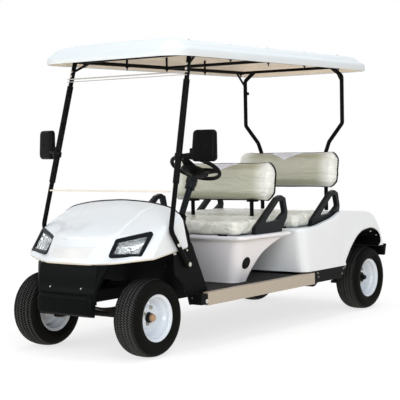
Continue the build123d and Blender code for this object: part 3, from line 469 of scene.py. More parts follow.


# The tread's convex edges and a band along one side of each sipe are lighter: partly scuffing, partly a painted
# highlight that makes the sipes show.
rubber = finish("tyre_rubber", TYRE_RUBBER, 0.55, 0.16, 0.5, (0.02, 0.02, 0.02), 0.08,
                (0.04, 0.036, 0.03), patch=14, grain=0.5, grain_scale=520, specular=0.03)
sipe_scuff_and_highlight = finish("sipe_edges_scuff_and_highlight", (0.070, 0.074, 0.072), 0.6, 0.3, patch=18, grain=0.5,
                 grain_scale=520, specular=0.2)
tyre = turned("tyre", tyre_outline(), TYRE_STEPS)
# Faces along one side of each sipe, which take the lighter colour: partly scuffs, partly a painted highlight.
lines = []
for face in tyre.data.polygons:
    x, y, z = face.center * 1000
    on_tread = abs(x) < TREAD_HALF - 4 and hypot(y, z) > 223
    lines.append(1 if on_tread and 0.12 < sipe_turn(x, y, z) % 1 < 0.34 else 0)
cut_sipes(tyre.data)
for wheel, (centre, side) in WHEELS.items():
    turn = Matrix.Translation(centre) @ Matrix.Diagonal((side, 1, 1, 1))
    piece = settle(twin(tyre, wheel + "_turf_tyre", turn), rubber, wheel + "_wheel", "tyre",
                   wheel + "_tyre", smooth=48)
    piece.data.materials.append(sipe_scuff_and_highlight)
    piece.data.polygons.foreach_set("material_index", lines)
bpy.data.objects.remove(tyre)

# ------------------------------------------------------------------- rims
# Ten-inch steel wheels, spun and welded, sprayed gloss white, each held on
# by four nuts on a 101.6 mm circle, with a hub cap or hub end in the middle.
RIM_OUTLINE = (  # mm outboard of the tyre's centre, radius
    (76, 140), (75, 142), (71, 142), (68.5, 139), (67.5, 132), (66, 128), (60, 126.8), (46, 126.5),
    (41, 123), (32, 117), (22, 113), (-16, 112), (-22, 114), (-27, 122), (-33, 126), (-60, 126.8),
    (-66, 128), (-67.5, 132), (-68.5, 139), (-71, 142), (-75, 142), (-76, 140), (-74, 137),
    (-71.5, 131), (-69, 124.5), (-60, 123), (-36, 122), (-30, 118), (-25, 110), (-18, 108), (0, 108),
    (6, 104), (0, 102), (-4, 99), (-3, 72), (1, 66), (1, 20), (7, 20), (7, 63), (6, 67.5), (2.5, 71),
    (1.5, 97), (0.5, 99), (-0.8, 100.4), (-0.6, 102), (1.5, 103.4), (8, 105), (18, 107.4), (28, 111),
    (37, 116.5), (44, 120.5), (52, 122.4), (61, 123.4), (66, 125.8), (69.5, 131), (71.5, 137.5), (74, 140),
)
NUT_CIRCLE = 50.8
NUT_TURN = 20
SLOT_RADII = (0.082, 0.096)
SLOT_START = 74                    # degrees round the rim


def lug_nut(name, place, outward):
    """Hexagon nut with a domed end on a round seat."""
    start_clean()
    bpy.ops.mesh.primitive_cylinder_add(vertices=6, radius=0.0118, depth=0.018, location=(0, 0, 0.0110))
    piece = bpy.context.object
    piece.name = name
    with editing(piece):
        choose(piece, lambda face: face.normal.z > 0.9, "faces")
        bpy.ops.mesh.inset(thickness=0.0022)
        bpy.ops.transform.translate(value=(0, 0, 0.0022))
        bpy.ops.mesh.inset(thickness=0.003)
        bpy.ops.transform.translate(value=(0, 0, 0.001))
        choose(piece, lambda face: face.normal.z < -0.9, "faces")
        bpy.ops.mesh.extrude_region_move(TRANSFORM_OT_translate={"value": (0, 0, -0.004)})
        bpy.ops.transform.resize(value=(1.25, 1.25, 1))
    return stood(piece, place, outward, "Z", "Y")


def gathered(name, pieces):
    """Joins pieces into one object."""
    start_clean()
    for piece in pieces:
        piece.select_set(True)
    bpy.context.view_layer.objects.active = pieces[0]
    if len(pieces) > 1:
        bpy.ops.object.join()
    pieces[0].name = name
    return pieces[0]


rim_white = finish("wheel_white_enamel", (0.655, 0.72, 0.80), 0.22, 0.03, 0.25, (0.9, 0.9, 0.9), 0.22,
                   (0.42, 0.38, 0.33), patch=12, grain=0.1, grain_scale=250, coat=0.4)
nut_steel = finish("worn_nut_steel", (0.20, 0.19, 0.165), 0.32, 0.3, 0.5, (0.7, 0.68, 0.62), 0.1,
                   patch=160, metallic=1.0, grain=0.3, grain_scale=900)
zinc = finish("zinc_plated_steel", (0.62, 0.60, 0.55), 0.34, 0.2, 0.3, (0.8, 0.8, 0.78), 0.1,
              patch=160, metallic=1.0, grain=0.3, grain_scale=900)
bronze = finish("bronze_grease_cap", (0.44, 0.27, 0.16), 0.38, 0.16, 0.3, (0.6, 0.42, 0.3), 0.1,
                patch=60, metallic=0.75, grain=0.3, grain_scale=600)
hub_black = finish("hub_black_paint", (0.006, 0.006, 0.006), 0.36, 0.1, 0.3, (0.04, 0.04, 0.04), 0.1,
                   (0.04, 0.035, 0.03), patch=30, grain=0.3, grain_scale=400, specular=0.10)


def carved(piece, cutter):
    """Cuts one piece out of another and throws the cutter away."""
    start_clean()
    apply_modifier(piece, "BOOLEAN", object=cutter, solver="EXACT")
    bpy.data.objects.remove(cutter)
    return piece


def slotted_rim():
    rim = turned("rim", RIM_OUTLINE, 128)
    start_clean()
    bpy.ops.mesh.primitive_grid_add(x_subdivisions=8, y_subdivisions=1)
    cutter = bpy.context.object
    for k, corner in enumerate(cutter.data.vertices):
        r, a = SLOT_RADII[k // 9], radians(SLOT_START + 6 * (k % 9))
        corner.co = (0.0, r * cos(a), r * sin(a))
    apply_modifier(cutter, "SOLIDIFY", thickness=0.12, offset=0)
    return carved(rim, cutter)


rim = slotted_rim()
nuts = []
for k in range(4):
    a = radians(NUT_TURN * -1 + 90 * k)
    nuts.append(lug_nut("nut", (0.007, NUT_CIRCLE / 1000 * cos(a), NUT_CIRCLE / 1000 * sin(a)), (1, 0, 0)))
nut_set = gathered("nuts", nuts)
front_hub = turned("hub", ((-1, 19), (7, 33), (12, 32), (15, 29), (28, 27.5), (30, 25), (30, 10), (-1, 10)), 48)
cap = turned("cap", ((26, 1), (26, 23), (39, 23.4), (44.5, 22), (47, 17.5), (48, 8), (48.2, 0.5)), 48)
rear_hub = turned("end", ((-1, 12), (-1, 38), (16, 37), (19, 34), (19, 23), (27, 22), (28, 17), (46, 16.4),
                          (48.5, 14), (49.4, 8), (49.4, 0.5), (-1, 0.5)), 48)
for wheel, (centre, side) in WHEELS.items():
    turn = Matrix.Translation(centre) @ Matrix.Diagonal((side, 1, 1, 1))
    body = wheel + "_wheel"
    settle(twin(rim, wheel + "_steel_rim", turn), rim_white, body, "wheel_steel", wheel + "_rim")
    settle(twin(nut_set, wheel + "_lug_nuts", turn), nut_steel, body, "bright_steel")
    if wheel.startswith("front"):
        settle(twin(front_hub, wheel + "_hub", turn), hub_black, body, "running_gear")
        settle(twin(cap, wheel + "_grease_cap", turn), bronze, body, "bright_steel")
    else:
        settle(twin(rear_hub, wheel + "_hub_end", turn), hub_black, body, "running_gear")
for stray in (rim, nut_set, front_hub, cap, rear_hub):
    bpy.data.objects.remove(stray)

# ---------------------------------------------------- axles and suspension
# Forged and fabricated steel painted black: axle tubes, drums, knuckles,
# leaf packs, dampers and the bare tie rod between the steering arms.
gear_paint = finish("running_gear_paint", (0.006, 0.0055, 0.005), 0.5, 0.18, 0.4, (0.04, 0.03, 0.02),
                    0.3, (0.05, 0.035, 0.025), patch=22, grain=0.5, grain_scale=260, specular=0.08)
rod_steel = finish("bare_rod_steel", (0.30, 0.25, 0.20), 0.42, 0.2, 0.4, (0.6, 0.58, 0.55), 0.5,
                   patch=60, metallic=0.9, grain=0.3, grain_scale=500)
dress(gear_paint, "front_axle", "knuckle_left", "knuckle_right", "leaf_springs", "dampers", "rear_axle",
      "rear_left_drum", "rear_right_drum")
dress(rod_steel, "tie_rod")

# ------------------------------------------------------------------- cowl
# The nose moulding: one white thermoplastic shell with a raised middle
# panel, a raised pad for a plate, lamp openings, and a turned-in rear edge.
HOOD_X = (0, 190, 252, 455, 505)
HOOD_ROWS = (  # bottom lip, fascia, brow, hood, rear edge at each x: station, z
    ((-250, 565), (-243, 566), (-212, 568), (-112, 590), (-48, 596)),
    ((-228, 640), (-185, 612), (-156, 593), (-98, 610), (-36, 622)),
    ((-175, 710), (-120, 712), (-90, 706), (31, 745), (60, 726)),
    ((80, 840), (75, 815), (75, 803), (110, 792), (120, 762)),
    ((270, 917), (269, 907), (267, 901), (252, 858), (244, 800)),
)
HOOD_FOOT = (290, 638)
HOOD_COLUMNS = 190
HOOD_WALL = 0.004
HOOD_SPREAD = 52                   # mm over which the shape is averaged across
BULGE_STATIONS = (-172, -170, -148, -127, -95, -45, 5, 71, 144, 209, 260)
BULGE_HALVES = (2, 40, 131, 192, 234, 250, 247, 252, 251, 267, 300)
BULGE_RISE = 7.5
BULGE_EDGE = 9
BULGE_FADE = (262, 90)             # station where the panel has faded out, and over how far
PLATE_HALF = ((590, 152), (650, 164))
PLATE_STAND = (2.5, 12.0)          # how far the pad stands out, foot and top
PLATE_FRONT = -150                 # the pad is ahead of this station
CHEEK_STEPS = 14                   # lines down each side of the hood
LAMP_CORNERS = ((455, 31, 745), (252, -90, 706), (252, -156, 593), (455, -98, 610))


def skin(name, rows, round_rows=False):
    """Sheet through rows of points, in metres; a round sheet closes on itself."""
    start_clean()
    down, across = len(rows), len(rows[0])
    bpy.ops.mesh.primitive_grid_add(x_subdivisions=across - 1, y_subdivisions=down - 1)
    piece = bpy.context.object
    piece.name = name
    piece.data.vertices.foreach_set("co", [c for row in rows for point in row for c in point])
    with editing(piece):
        bpy.ops.mesh.remove_doubles(threshold=2e-5)
        if round_rows:
            bpy.ops.mesh.normals_make_consistent(inside=False)
    return piece


def walled(piece, depth, offset=-1.0):
    """Gives a sheet its wall thickness, inwards."""
    pick(piece)
    apply_modifier(piece, "SOLIDIFY", thickness=depth, offset=offset, use_quality_normals=True)
    return piece


def facing(piece, toward):
    """Turns a sheet over if its faces look away from a direction."""
    total = sum((face.normal * face.area for face in piece.data.polygons), Vector())
    if total.dot(Vector(toward)) < 0:
        piece.data.flip_normals()
    return piece


def between(value, low, high):
    return min(high, max(low, value))


def eased(share):
    """0 to 1 with soft ends."""
    u = between(share, 0, 1)
    return u * u * (3 - 2 * u)


def rounded_way(points, counts, passes):
    """Polyline through points in counted steps, its inner corners rounded by averaging."""
    way = []
    for here, nearby, count in zip(points, points[1:], counts):
        way += [Vector(here).lerp(Vector(nearby), j / count) for j in range(count)]
    way.append(Vector(points[-1]))
    for _ in range(passes):
        way = [way[0]] + [(a + 2 * b + c) / 4 for a, b, c in zip(way, way[1:], way[2:])] + [way[-1]]
    return way


def hood_blend(values, x):
    """Smooth value across the hood, averaged over a few centimetres."""
    reach = min(HOOD_SPREAD, HOOD_X[-1] - abs(x))
    spread = [hermite(HOOD_X, values, abs(x + reach * k / 6)) for k in range(-6, 7)]
    return sum(spread) / len(spread)


def hood_profile(x):
    """Side view of the hood at a distance from the middle."""
    points = [(hood_blend([p[0] for p in row], x), hood_blend([p[1] for p in row], x)) for row in HOOD_ROWS]
    lip = Vector(points[0]) + Vector((9, -2))
    return rounded_way([(*lip, 0), *[(*p, 0) for p in points]], (4, 16, 22, 32, 26), 10)


def hood_rise(x, station, z):
    """How far the raised panel and the plate pad stand off the plain hood, in mm."""
    half = hermite(BULGE_STATIONS, BULGE_HALVES, station)
    rise = 0
    if station > BULGE_STATIONS[0]:
        inside = min(half - abs(x), station - BULGE_STATIONS[0]) / BULGE_EDGE
        rise = BULGE_RISE * eased(inside) * between((BULGE_FADE[0] - station) / BULGE_FADE[1], 0, 1)
    if station < PLATE_FRONT and z < 662:
        (low, _), (high, _) = PLATE_HALF
        inside = min((plate_half(z) + 10 - abs(x)) / 12, (z - low + 4) / 5, (high + 7 - z) / 7)
        foot, top = PLATE_STAND
        rise += (foot + (top - foot) * between((z - low) / (high - low), 0, 1)) * between(inside, 0, 1)
    return rise


def plate_half(z):
    """Half width of the plate pad at a height."""
    (low, narrow), (high, wide) = PLATE_HALF
    return narrow + (wide - narrow) * (z - low) / (high - low)


def hood_point(x, place):
    """Point of the hood's face with its relief."""
    station, z = place[:2]
    ahead = Vector((0, -0.55, 0.83)) if z > 700 else Vector((0, -0.95, 0.3))
    return at(x, station, z) + ahead * hood_rise(x, station, z) / 1000


def cowl_shell():
    """Hood and nose in one sheet, with a cheek down to the foot on each side."""
    reach = HOOD_X[-1]
    faces = []
    for k in range(HOOD_COLUMNS + 1):
        u = -1 + 2 * k / HOOD_COLUMNS
        x = reach * (1.12 * u - 0.12 * u ** 3)
        faces.append([hood_point(x, p) for p in hood_profile(x)])
    edge = hood_profile(reach)
    foot = at(reach, *HOOD_FOOT)
    first = at(reach, edge[0][0], edge[0][1])
    total = edge[-1][0] - edge[0][0]
    for side in (-1, 1):
        panel = []
        for step in range(1, CHEEK_STEPS + 1):
            share = (step / CHEEK_STEPS) ** 1.3
            line = []
            for p in edge:
                top = at(reach, p[0], p[1])
                low = first.lerp(foot, max(0, (p[0] - edge[0][0]) / total))
                point = top.lerp(low, share)
                line.append(Vector((side * point.x, point.y, point.z)))
            panel.append(line)
        faces = panel[::-1] + faces if side < 0 else faces + panel
    shell = skin("cowl", faces)
    with editing(shell, lambda corner: abs(corner.co.x) > 0.486 and not corner.is_boundary):
        bpy.ops.mesh.vertices_smooth(factor=0.5, repeat=14)
    return walled(facing(shell, (0, -1, 1)), HOOD_WALL)


def lamp_frame():
    """Middle, across, up and outward directions of the left lamp, and its flat corners."""
    corners = [at(*c) for c in LAMP_CORNERS]
    middle = sum(corners, Vector()) / 4
    across = (corners[0] + corners[3] - corners[1] - corners[2]).normalized()
    outward = across.cross(corners[0] + corners[1] - corners[2] - corners[3]).normalized()
    up = outward.cross(across)
    flat = [((c - middle).dot(across), (c - middle).dot(up)) for c in corners]
    return middle, across, up, outward, flat


def lamp_ring(inset, height, corner=0.012, steps=6, shrink=1.0):
    """Rounded outline of the lamp, drawn in by inset and lifted by height, in metres."""
    middle, across, up, outward, flat = lamp_frame()
    ring = []
    for k in range(len(flat)):
        a, b, c = Vector(flat[k - 1]), Vector(flat[k]), Vector(flat[(k + 1) % len(flat)])
        one, two = (b - a).normalized(), (c - b).normalized()
        normal_one, normal_two = Vector((-one.y, one.x)), Vector((-two.y, two.x))
        middle_way = (normal_one + normal_two).normalized()
        b = b + middle_way * inset / middle_way.dot(normal_one)
        back = corner * tan(one.angle(two) / 2)
        start, end = b - one * back, b + two * back
        for j in range(steps + 1):
            t = j / steps
            p = (start * (1 - t) ** 2 + b * 2 * t * (1 - t) + end * t * t) * shrink
            ring.append(middle + across * p.x + up * p.y + outward * height)
    return ring


def closed_rings(name, rings):
    return skin(name, [ring + ring[:1] for ring in rings], True)


# Lit copy of the body white: the hood's base is set darker than the pod's and the rear body's copies of the same
# white, for the stronger light on the hood.
hood_white_darkened_for_light = finish("white_body_gloss_darkened_for_light", (0.71, 0.75, 0.785), 0.30, 0.02, 0.10, (0.86, 0.86, 0.86), 0.0,
                    (0.5, 0.45, 0.4), patch=3, grain=0.12, grain_scale=160, waves=0.8, coat=0.35)
cowl = cowl_shell()
for side in (1, -1):
    plug = closed_rings("plug", [lamp_ring(0.001, -0.09, 0.018), lamp_ring(0.001, 0.06, 0.018)])
    with editing(plug):
        bpy.ops.mesh.region_to_loop()
        bpy.ops.mesh.edge_face_add()
        bpy.ops.mesh.select_all(action="SELECT")
        bpy.ops.mesh.fill_holes(sides=0)
        bpy.ops.mesh.normals_make_consistent(inside=False)
    if side < 0:
        plug.data.transform(Matrix.Diagonal((-1, 1, 1, 1)))
        plug.data.flip_normals()
    carved(cowl, plug)
settle(cowl, hood_white_darkened_for_light, "cart", "white_body", "front_cowl", smooth=32)
pad_face = finish("plate_pad_face", (0.66, 0.675, 0.68), 0.4, 0.02, patch=3, grain=0.15, grain_scale=200)
cowl.data.materials.append(pad_face)
for face in cowl.data.polygons:
    x, station, z = face.center.x * 1000, face.center.y * 1000 + FRONT_AXLE_AT, face.center.z * 1000
    inside = abs(x) < plate_half(z) - 1 and PLATE_HALF[0][0] < z < PLATE_HALF[1][0] + 3
    if inside and station < PLATE_FRONT and face.normal.y < -0.8:
        face.material_index = 1

# ------------------------------------------------------ cowl lip and trim
# A rubber lip pushed on the cowl's bottom edge, its cream partly painted warm
# bounce light, and a black rubber bead along its rear edge where it meets the dash.
LIP_R = 5.5
BEAD_R = 6.0
# The lip's cream is partly its own colour and partly painted warm light bounced up from the ground.
lip_cream_and_painted_bounce = finish("cream_lip_painted_warm_bounce", (0.60, 0.57, 0.49), 0.5, 0.06, patch=20, grain=0.2)
trim_rubber = finish("black_trim_rubber", (0.005, 0.005, 0.005), 0.45, 0.08, 0.2, (0.02, 0.02, 0.02),
                     patch=20, grain=0.4, grain_scale=500, specular=0.07)


def bead(name, points, radius, sides=10):
    """Round bead swept along points in metres, its radius in metres too."""
    start_clean()
    curve = bpy.data.curves.new(name, "CURVE")
    curve.dimensions = "3D"
    curve.bevel_depth = radius
    curve.bevel_resolution = max(1, sides // 4)
    curve.use_fill_caps = True
    line = curve.splines.new("POLY")
    line.points.add(len(points) - 1)
    for slot_point, p in zip(line.points, points):
        slot_point.co = (*p, 1)
    piece = bpy.data.objects.new(name, curve)
    bpy.context.collection.objects.link(piece)
    pick(piece)
    bpy.ops.object.convert(target="MESH")
    return bpy.context.object


foot_line, rear_line = [], []
for k in range(81):
    x = -HOOD_X[-1] + 2 * HOOD_X[-1] * k / 80
    profile = hood_profile(x)
    foot_line.append(at(x * 0.994, profile[0][0] + 1, profile[0][1] - 3))
    rear_line.append(hood_point(x * 0.99, profile[-1]) + Vector((0, 0.004, 0.0005)))
inner = HOOD_X[-1] * 0.994
foot_line = [at(-inner, 280, 634)] + foot_line + [at(inner, 280, 634)]
rear_line = ([at(-inner, HOOD_FOOT[0] + 2, HOOD_FOOT[1] + 8), at(-inner, 268, 730)] + rear_line[1:-1]
             + [at(inner, 268, 730), at(inner, HOOD_FOOT[0] + 2, HOOD_FOOT[1] + 8)])
settle(bead("cowl_foot_lip", foot_line, LIP_R / 1000), lip_cream_and_painted_bounce, "cart", "white_body", smooth=60)
settle(bead("cowl_rear_bead", rear_line, BEAD_R / 1000), trim_rubber, "cart", "black_plastic", smooth=60)

# ------------------------------------------------------------- headlights
# Sealed lamps: a gloss black bezel clipped in the cowl, a vacuum-plated
# reflector with fine facets, a bulb shield, and a moulded clear lens.
bezel_black = finish("gloss_black_bezel", (0.0045, 0.006, 0.008), 0.2, 0.05, 0.15, (0.02, 0.025, 0.03),
                     patch=15, grain=0.1, grain_scale=200, specular=0.11)


def plated(name):
    """Bright plating with fine vertical facets and soft clouding."""
    material = finish(name, (0.66, 0.68, 0.69), 0.18, 0.12, metallic=1.0, patch=22)
    tree = material.node_tree
    place = add_node(tree, "TexCoord").outputs["Object"]
    facet = add_node(tree, "TexWave", {"Scale": 42, "Distortion": 3.5, "Detail": 2, "Vector": place})
    feed(tree.nodes["Principled BSDF"], {"Normal": bumped(tree, facet.outputs["Fac"], 0.55, 0.004)})
    return material


def clear(name, tint, rough=0.03, ior=1.45, ripple=0.0, ripple_scale=120.0, transmission=1.0, alpha=1.0):
    """Clear plastic or glass, faintly rippled."""
    material, tree, shader = new_material(name)
    place = add_node(tree, "TexCoord").outputs["Object"]
    spread = add_node(tree, "MapRange", {"Value": cloud_node(tree, place, 7), "To Min": rough * 0.6,
                                         "To Max": rough * 1.6})
    feed(shader, {"Base Color": (*tint, 1), "Transmission Weight": transmission, "IOR": ior,
                  "Roughness": spread.outputs["Result"], "Alpha": alpha})
    if ripple:
        flute = add_node(tree, "TexVoronoi", {"Scale": ripple_scale, "Vector": place})
        feed(shader, {"Normal": bumped(tree, flute.outputs["Distance"], ripple, 0.001)})
    return material


plating = plated("vacuum_plating")
lamp_clear = clear("moulded_clear_lens", (0.93, 0.94, 0.94), 0.04, 1.15, 0.12, 90.0)
bezel = closed_rings("bezel", [lamp_ring(*ring) for ring in (  # inset, height, corner
    (-0.001, -0.030, 0.02), (-0.0016, 0.001, 0.021), (-0.0004, 0.0042, 0.02), (0.003, 0.005, 0.018),
    (0.016, 0.0042, 0.014), (0.0225, 0.001, 0.013), (0.0248, -0.004), (0.0258, -0.026))])
bowl = closed_rings("bowl", [lamp_ring(inset, height, shrink=shrink) for inset, height, shrink in (
    (0.0250, -0.006, 1), (0.027, -0.018, 1), (0.030, -0.032, 1), (0.030, -0.043, 0.84),
    (0.030, -0.050, 0.6), (0.030, -0.053, 0.3), (0.030, -0.054, 0.05))])
bulb = turned("bulb", ((0, 0.4), (0, 15), (3, 17), (8, 18), (14, 16), (20, 10), (23, 4), (23.6, 0.4)), 32)
lens = closed_rings("lens", [lamp_ring(inset, height, shrink=shrink) for inset, height, shrink in (
    (0.0244, -0.0045, 1), (0.0246, -0.0015, 1), (0.027, 0.0, 1), (0.027, 0.0014, 0.8),
    (0.027, 0.0024, 0.5), (0.027, 0.003, 0.2), (0.027, 0.003, 0.002))])
middle, across, _, outward, _ = lamp_frame()
stood(bulb, middle - outward * 0.050 - across * 0.02, outward)
walled(bezel, 0.0016)
walled(facing(bowl, outward), 0.001)
walled(facing(lens, outward), 0.002)


def both_sides(piece, prefix, *settling, lifts=(0, 0), **more):
    """Settles a left piece and its mirror image, each raised by its own lift."""
    far = twin(piece, "right_" + prefix + piece.name, Matrix.Diagonal((-1, 1, 1, 1)))
    piece.name = "left_" + prefix + piece.name
    for one, lift in zip((piece, far), lifts):
        one.data.transform(Matrix.Translation((0, 0, lift / 1000)))
        settle(one, *settling, **more)


both_sides(bezel, "headlight_", bezel_black, "cart", "black_gloss", "headlight_bezels")
both_sides(bowl, "headlight_", plating, "cart", "bright_steel")
both_sides(bulb, "headlight_", plating, "cart", "bright_steel")
both_sides(lens, "headlight_", lamp_clear, "cart", "clear_lens", "headlight_lenses")

# ----------------------------------------------------------- front bumper
# A black moulded nose panel hung on the frame's front: flat above, with a
# pillow-shaped bar across its foot and sides that curl back.
NOSE_LINE = ((-236, 560), (-250, 500), (-263, 420), (-272, 384), (-272, 258))
NOSE_ENDS = (560, 251)
NOSE_SWEEP = ((0, 150, 226, 260, 300, 330), (0, 2, 6, 20, 48, 90))
NOSE_EDGE = ((250, 380, 430, 562), (224, 232, 244, 299))
PILLOW = (222, 255, 380, 27)       # half width, foot, top, how far it stands out
PILLOW_CORNER = 38
FLANGE_BEND = ((251, 400, 562), (10, 16, 26))
NOSE_BOLT = (126, -259.5, 417)
moulded_black = finish("moulded_black_plastic", (0.0034, 0.0038, 0.0040), 0.36, 0.10, 0.35,
                       (0.02, 0.02, 0.022), 0.08, (0.03, 0.028, 0.025), patch=7, grain=0.5,
                       grain_scale=380, specular=0.035)
dress(moulded_black, "floor_pan", "rear_skirts", "dash", "leg_guards", "rear_wheel_housings", "rear_bumper")


def nose_panel():
    """Panel with its pillow and its curled edges, pressed out of one sheet."""
    rows = []
    stations, heights = zip(*NOSE_LINE[::-1])
    top, foot = NOSE_ENDS
    for j in range(111):
        z = top - (top - foot) * j / 110
        station = hermite(heights, stations, z)
        half = hermite(*NOSE_EDGE, z)
        bend = hermite(*FLANGE_BEND, z)
        row = []
        for k in range(161):
            u = -1 + 2 * k / 160
            x = half * (1.3 * u - 0.3 * u ** 3)
            back = hermite(*NOSE_SWEEP, abs(x))
            width, low, high, out = PILLOW
            gap_x, gap_z = width - abs(x), min(z - low, high - z)
            if gap_x > 0 and gap_z > 0:
                if gap_x < PILLOW_CORNER and gap_z < PILLOW_CORNER:
                    gap = PILLOW_CORNER - hypot(PILLOW_CORNER - gap_x, PILLOW_CORNER - gap_z)
                else:
                    gap = min(gap_x, gap_z)
                t = between(gap / 20, 0, 1)
                back -= out * (0.86 * (1 - (1 - t) ** 2) ** 0.5 + 0.14 * min(1, gap / 60))
            over = abs(x) - (half - bend)
            if over > 0:
                a = over / bend * pi / 2
                x = (1 if x > 0 else -1) * (half - bend + bend * sin(a))
                back += bend * (1 - cos(a))
            row.append(at(x, station + back, z))
        rows.append(row)
    return walled(facing(skin("nose_panel", rows), (0, -1, 0)), 0.005)


def bolt(name, place, outward, radius=0.008, washer=0.0125):
    """Hexagon bolt head on a plain washer."""
    rings = []
    for sides, out, tall, middle, edge, turns in ((6, radius, 0.006, 0.005, 0.0009, 2),
                                                  (20, washer, 0.002, 0.001, 0.0004, 1)):
        start_clean()
        bpy.ops.mesh.primitive_cylinder_add(vertices=sides, radius=out, depth=tall, location=(0, 0, middle))
        rings.append(bpy.context.object)
        with editing(rings[-1]):
            bpy.ops.mesh.bevel(offset=edge, segments=turns, affect="EDGES")
    piece = gathered(name, rings)
    pick(piece)
    bpy.ops.object.transform_apply(location=True, rotation=True, scale=True)
    return stood(piece, place, outward, "Z", "Y")


def bolt_set(name, material, places, radius=0.008, washer=0.0125, body="cart"):
    """One piece from the bolts at places: x, station, z and the outward direction on the left side."""
    bolts = []
    for x, station, z, (out_x, out_y, out_z) in places:
        for side in (1, -1):
            bolts.append(bolt(name, at(side * x, station, z), (side * out_x, out_y, out_z), radius, washer))
    settle(gathered(name, bolts), material, body, "bright_steel")


# The nose panel's convex edges take a lighter colour at full strength: a painted sheen along the pillow's top
# edge and the curled flanges.
nose_black_edge_sheen = finish("nose_panel_black_edge_sheen", (0.0028, 0.0034, 0.0037), 0.3, 0.10, 1.0,
                    (0.034, 0.038, 0.040), 0.06, (0.03, 0.028, 0.025), patch=7, grain=0.35,
                    grain_scale=380, specular=0.03)
settle(nose_panel(), nose_black_edge_sheen, "cart", "black_plastic", "front_bumper", smooth=40)
bolt_set("nose_bolts", zinc, [(*NOSE_BOLT, (0, -1, 0.1))], 0.0048, 0.007)
bolt_set("guard_bolts", zinc, [(508, 268, 618, (1, 0, 0)), (508, 154, 606, (1, 0, 0)),
                               (508, 310, 320, (1, 0, 0)), (586, 362, 300, (1, 0, 0)),
                               (541, 157, 660, (1, -0.2, 0.1)), (541, 259, 534, (1, 0, 0))], 0.0075, 0.0135)
soften("leg_guards", 0.004)
soften("rear_bumper", 0.006, 3)
soften("rear_skirts", 0.003)
soften("dash", 0.004, limit=50)
soften("floor_pan", 0.003)

# ------------------------------------------------------------------- roof
# One vacuum-formed white canopy with a raised crown, a rounded lip and a
# ledge along its sides, and a sand-coloured liner bonded inside.
ROOF_LOW = 1790
ROOF_ENDS = (120, 2566)            # stations of the front and rear edges
ROOF_HALVES = (570, 539)           # half widths there
ROOF_BEND = 150
SIDE_RISE = ((0, 4, 14, 24, 38, 52, 68, 100, 145, 265, 420, 520),
             (34, 46, 55, 60, 68, 82, 94, 106, 115.5, 125, 129.2, 130))
FRONT_RISE = ((0, 5, 14, 30, 60, 100, 140, 190, 265, 420, 520),
              (24, 34, 45, 59, 80, 98, 108, 116, 122, 128.4, 130))
FRONT_BOW = ((0, 20, 60, 190, 265, 420, 520), (0, 5, 11, 11, 7, 1.4, 0))
REAR_RISE = ((0, 6, 16, 60, 124, 142, 160, 190, 240, 300, 420, 520),
             (36, 48, 57, 63, 69, 88, 103, 112, 119, 125, 129.4, 130))
ROOF_LIP = ((12, 7), (8, 1.2), (4, 0.3), (1.2, 2.5), (0, 8), (0, 16), (0, 21))  # draw, height
EDGE_STEPS = (60, 30)              # steps along each side and each end
DRAWS = (0, 2, 5, 9, 14, 20, 27, 34, 42, 50, 59, 68, 80, 92, 106, 118, 128, 137, 146, 156, 168, 185, 210,
         240, 280, 330, 390, 450, 510)


def roof_ring(draw, height=None, lower=0.0):
    """Outline of the canopy drawn in from its edge; its height follows the crown."""
    bend = max(40, ROOF_BEND - draw)
    front, rear = ROOF_ENDS[0] + draw, ROOF_ENDS[1] - draw
    ring = []
    corners = ((1, front, -90), (1, rear, 0), (-1, rear, 90), (-1, front, 180))
    for k, (side, station, start) in enumerate(corners):
        half = ROOF_HALVES[0 if station == front else 1] - draw
        reach = min(bend, half * 0.96)
        cx = side * (half - reach)
        cy = station + (bend if station == front else -bend)
        for j in range(15):
            a = radians(start + 90 * j / 14)
            ring.append((cx + reach * cos(a), cy + bend * sin(a), cos(a), sin(a)))
        next_side, next_station, _ = corners[(k + 1) % 4]
        next_half = ROOF_HALVES[0 if next_station == front else 1] - draw
        if k % 2 == 0:
            begin = (ring[-1][0], cy)
            end = (side * next_half, next_station + (-bend if next_station == rear else bend))
        else:
            begin = ring[-1][:2]
            end = (next_side * (next_half - min(bend, next_half * 0.96)), station)
        count = EDGE_STEPS[k % 2]
        for j in range(1, count):
            t = j / count
            ring.append((begin[0] + (end[0] - begin[0]) * t, begin[1] + (end[1] - begin[1]) * t,
                         cos(radians(start + 90)), sin(radians(start + 90))))
    points = []
    for x, station, across, along in ring:  # then the height at each point
        tall = height
        if tall is None:
            ahead, behind = max(0, -along) ** 2, max(0, along) ** 2
            tall = (hermite(*SIDE_RISE, draw) * across ** 2 + hermite(*FRONT_RISE, draw) * ahead
                    + hermite(*REAR_RISE, draw) * behind)
            tall += hermite(*FRONT_BOW, draw) * ahead * (1 - (x / ROOF_HALVES[0]) ** 2)
        points.append(at(x, station, ROOF_LOW + tall - lower))
    return points


roof_white = finish("roof_white_plastic", (0.655, 0.705, 0.735), 0.42, 0.02, 0.08, (0.86, 0.86, 0.86),
                    patch=3, grain=0.25, grain_scale=320, waves=0.5)
liner_sand = finish("sand_roof_liner", (0.84, 0.77, 0.68), 0.75, 0.06, patch=5, grain=0.5,
                    grain_scale=260, waves=0.6)


def crowned(name, rings, crown_over, toward, wall):
    """Sheet through closed rings, its opening above a height filled in, then walled."""
    sheet = closed_rings(name, rings)
    with editing(sheet):
        choose(sheet, lambda line: line.is_boundary and line.verts[0].co.z > crown_over, "edges")
        bpy.ops.mesh.fill_grid(span=EDGE_STEPS[0])
        bpy.ops.mesh.select_all(action="SELECT")
        bpy.ops.mesh.normals_make_consistent(inside=False)
    return walled(facing(sheet, toward), wall)


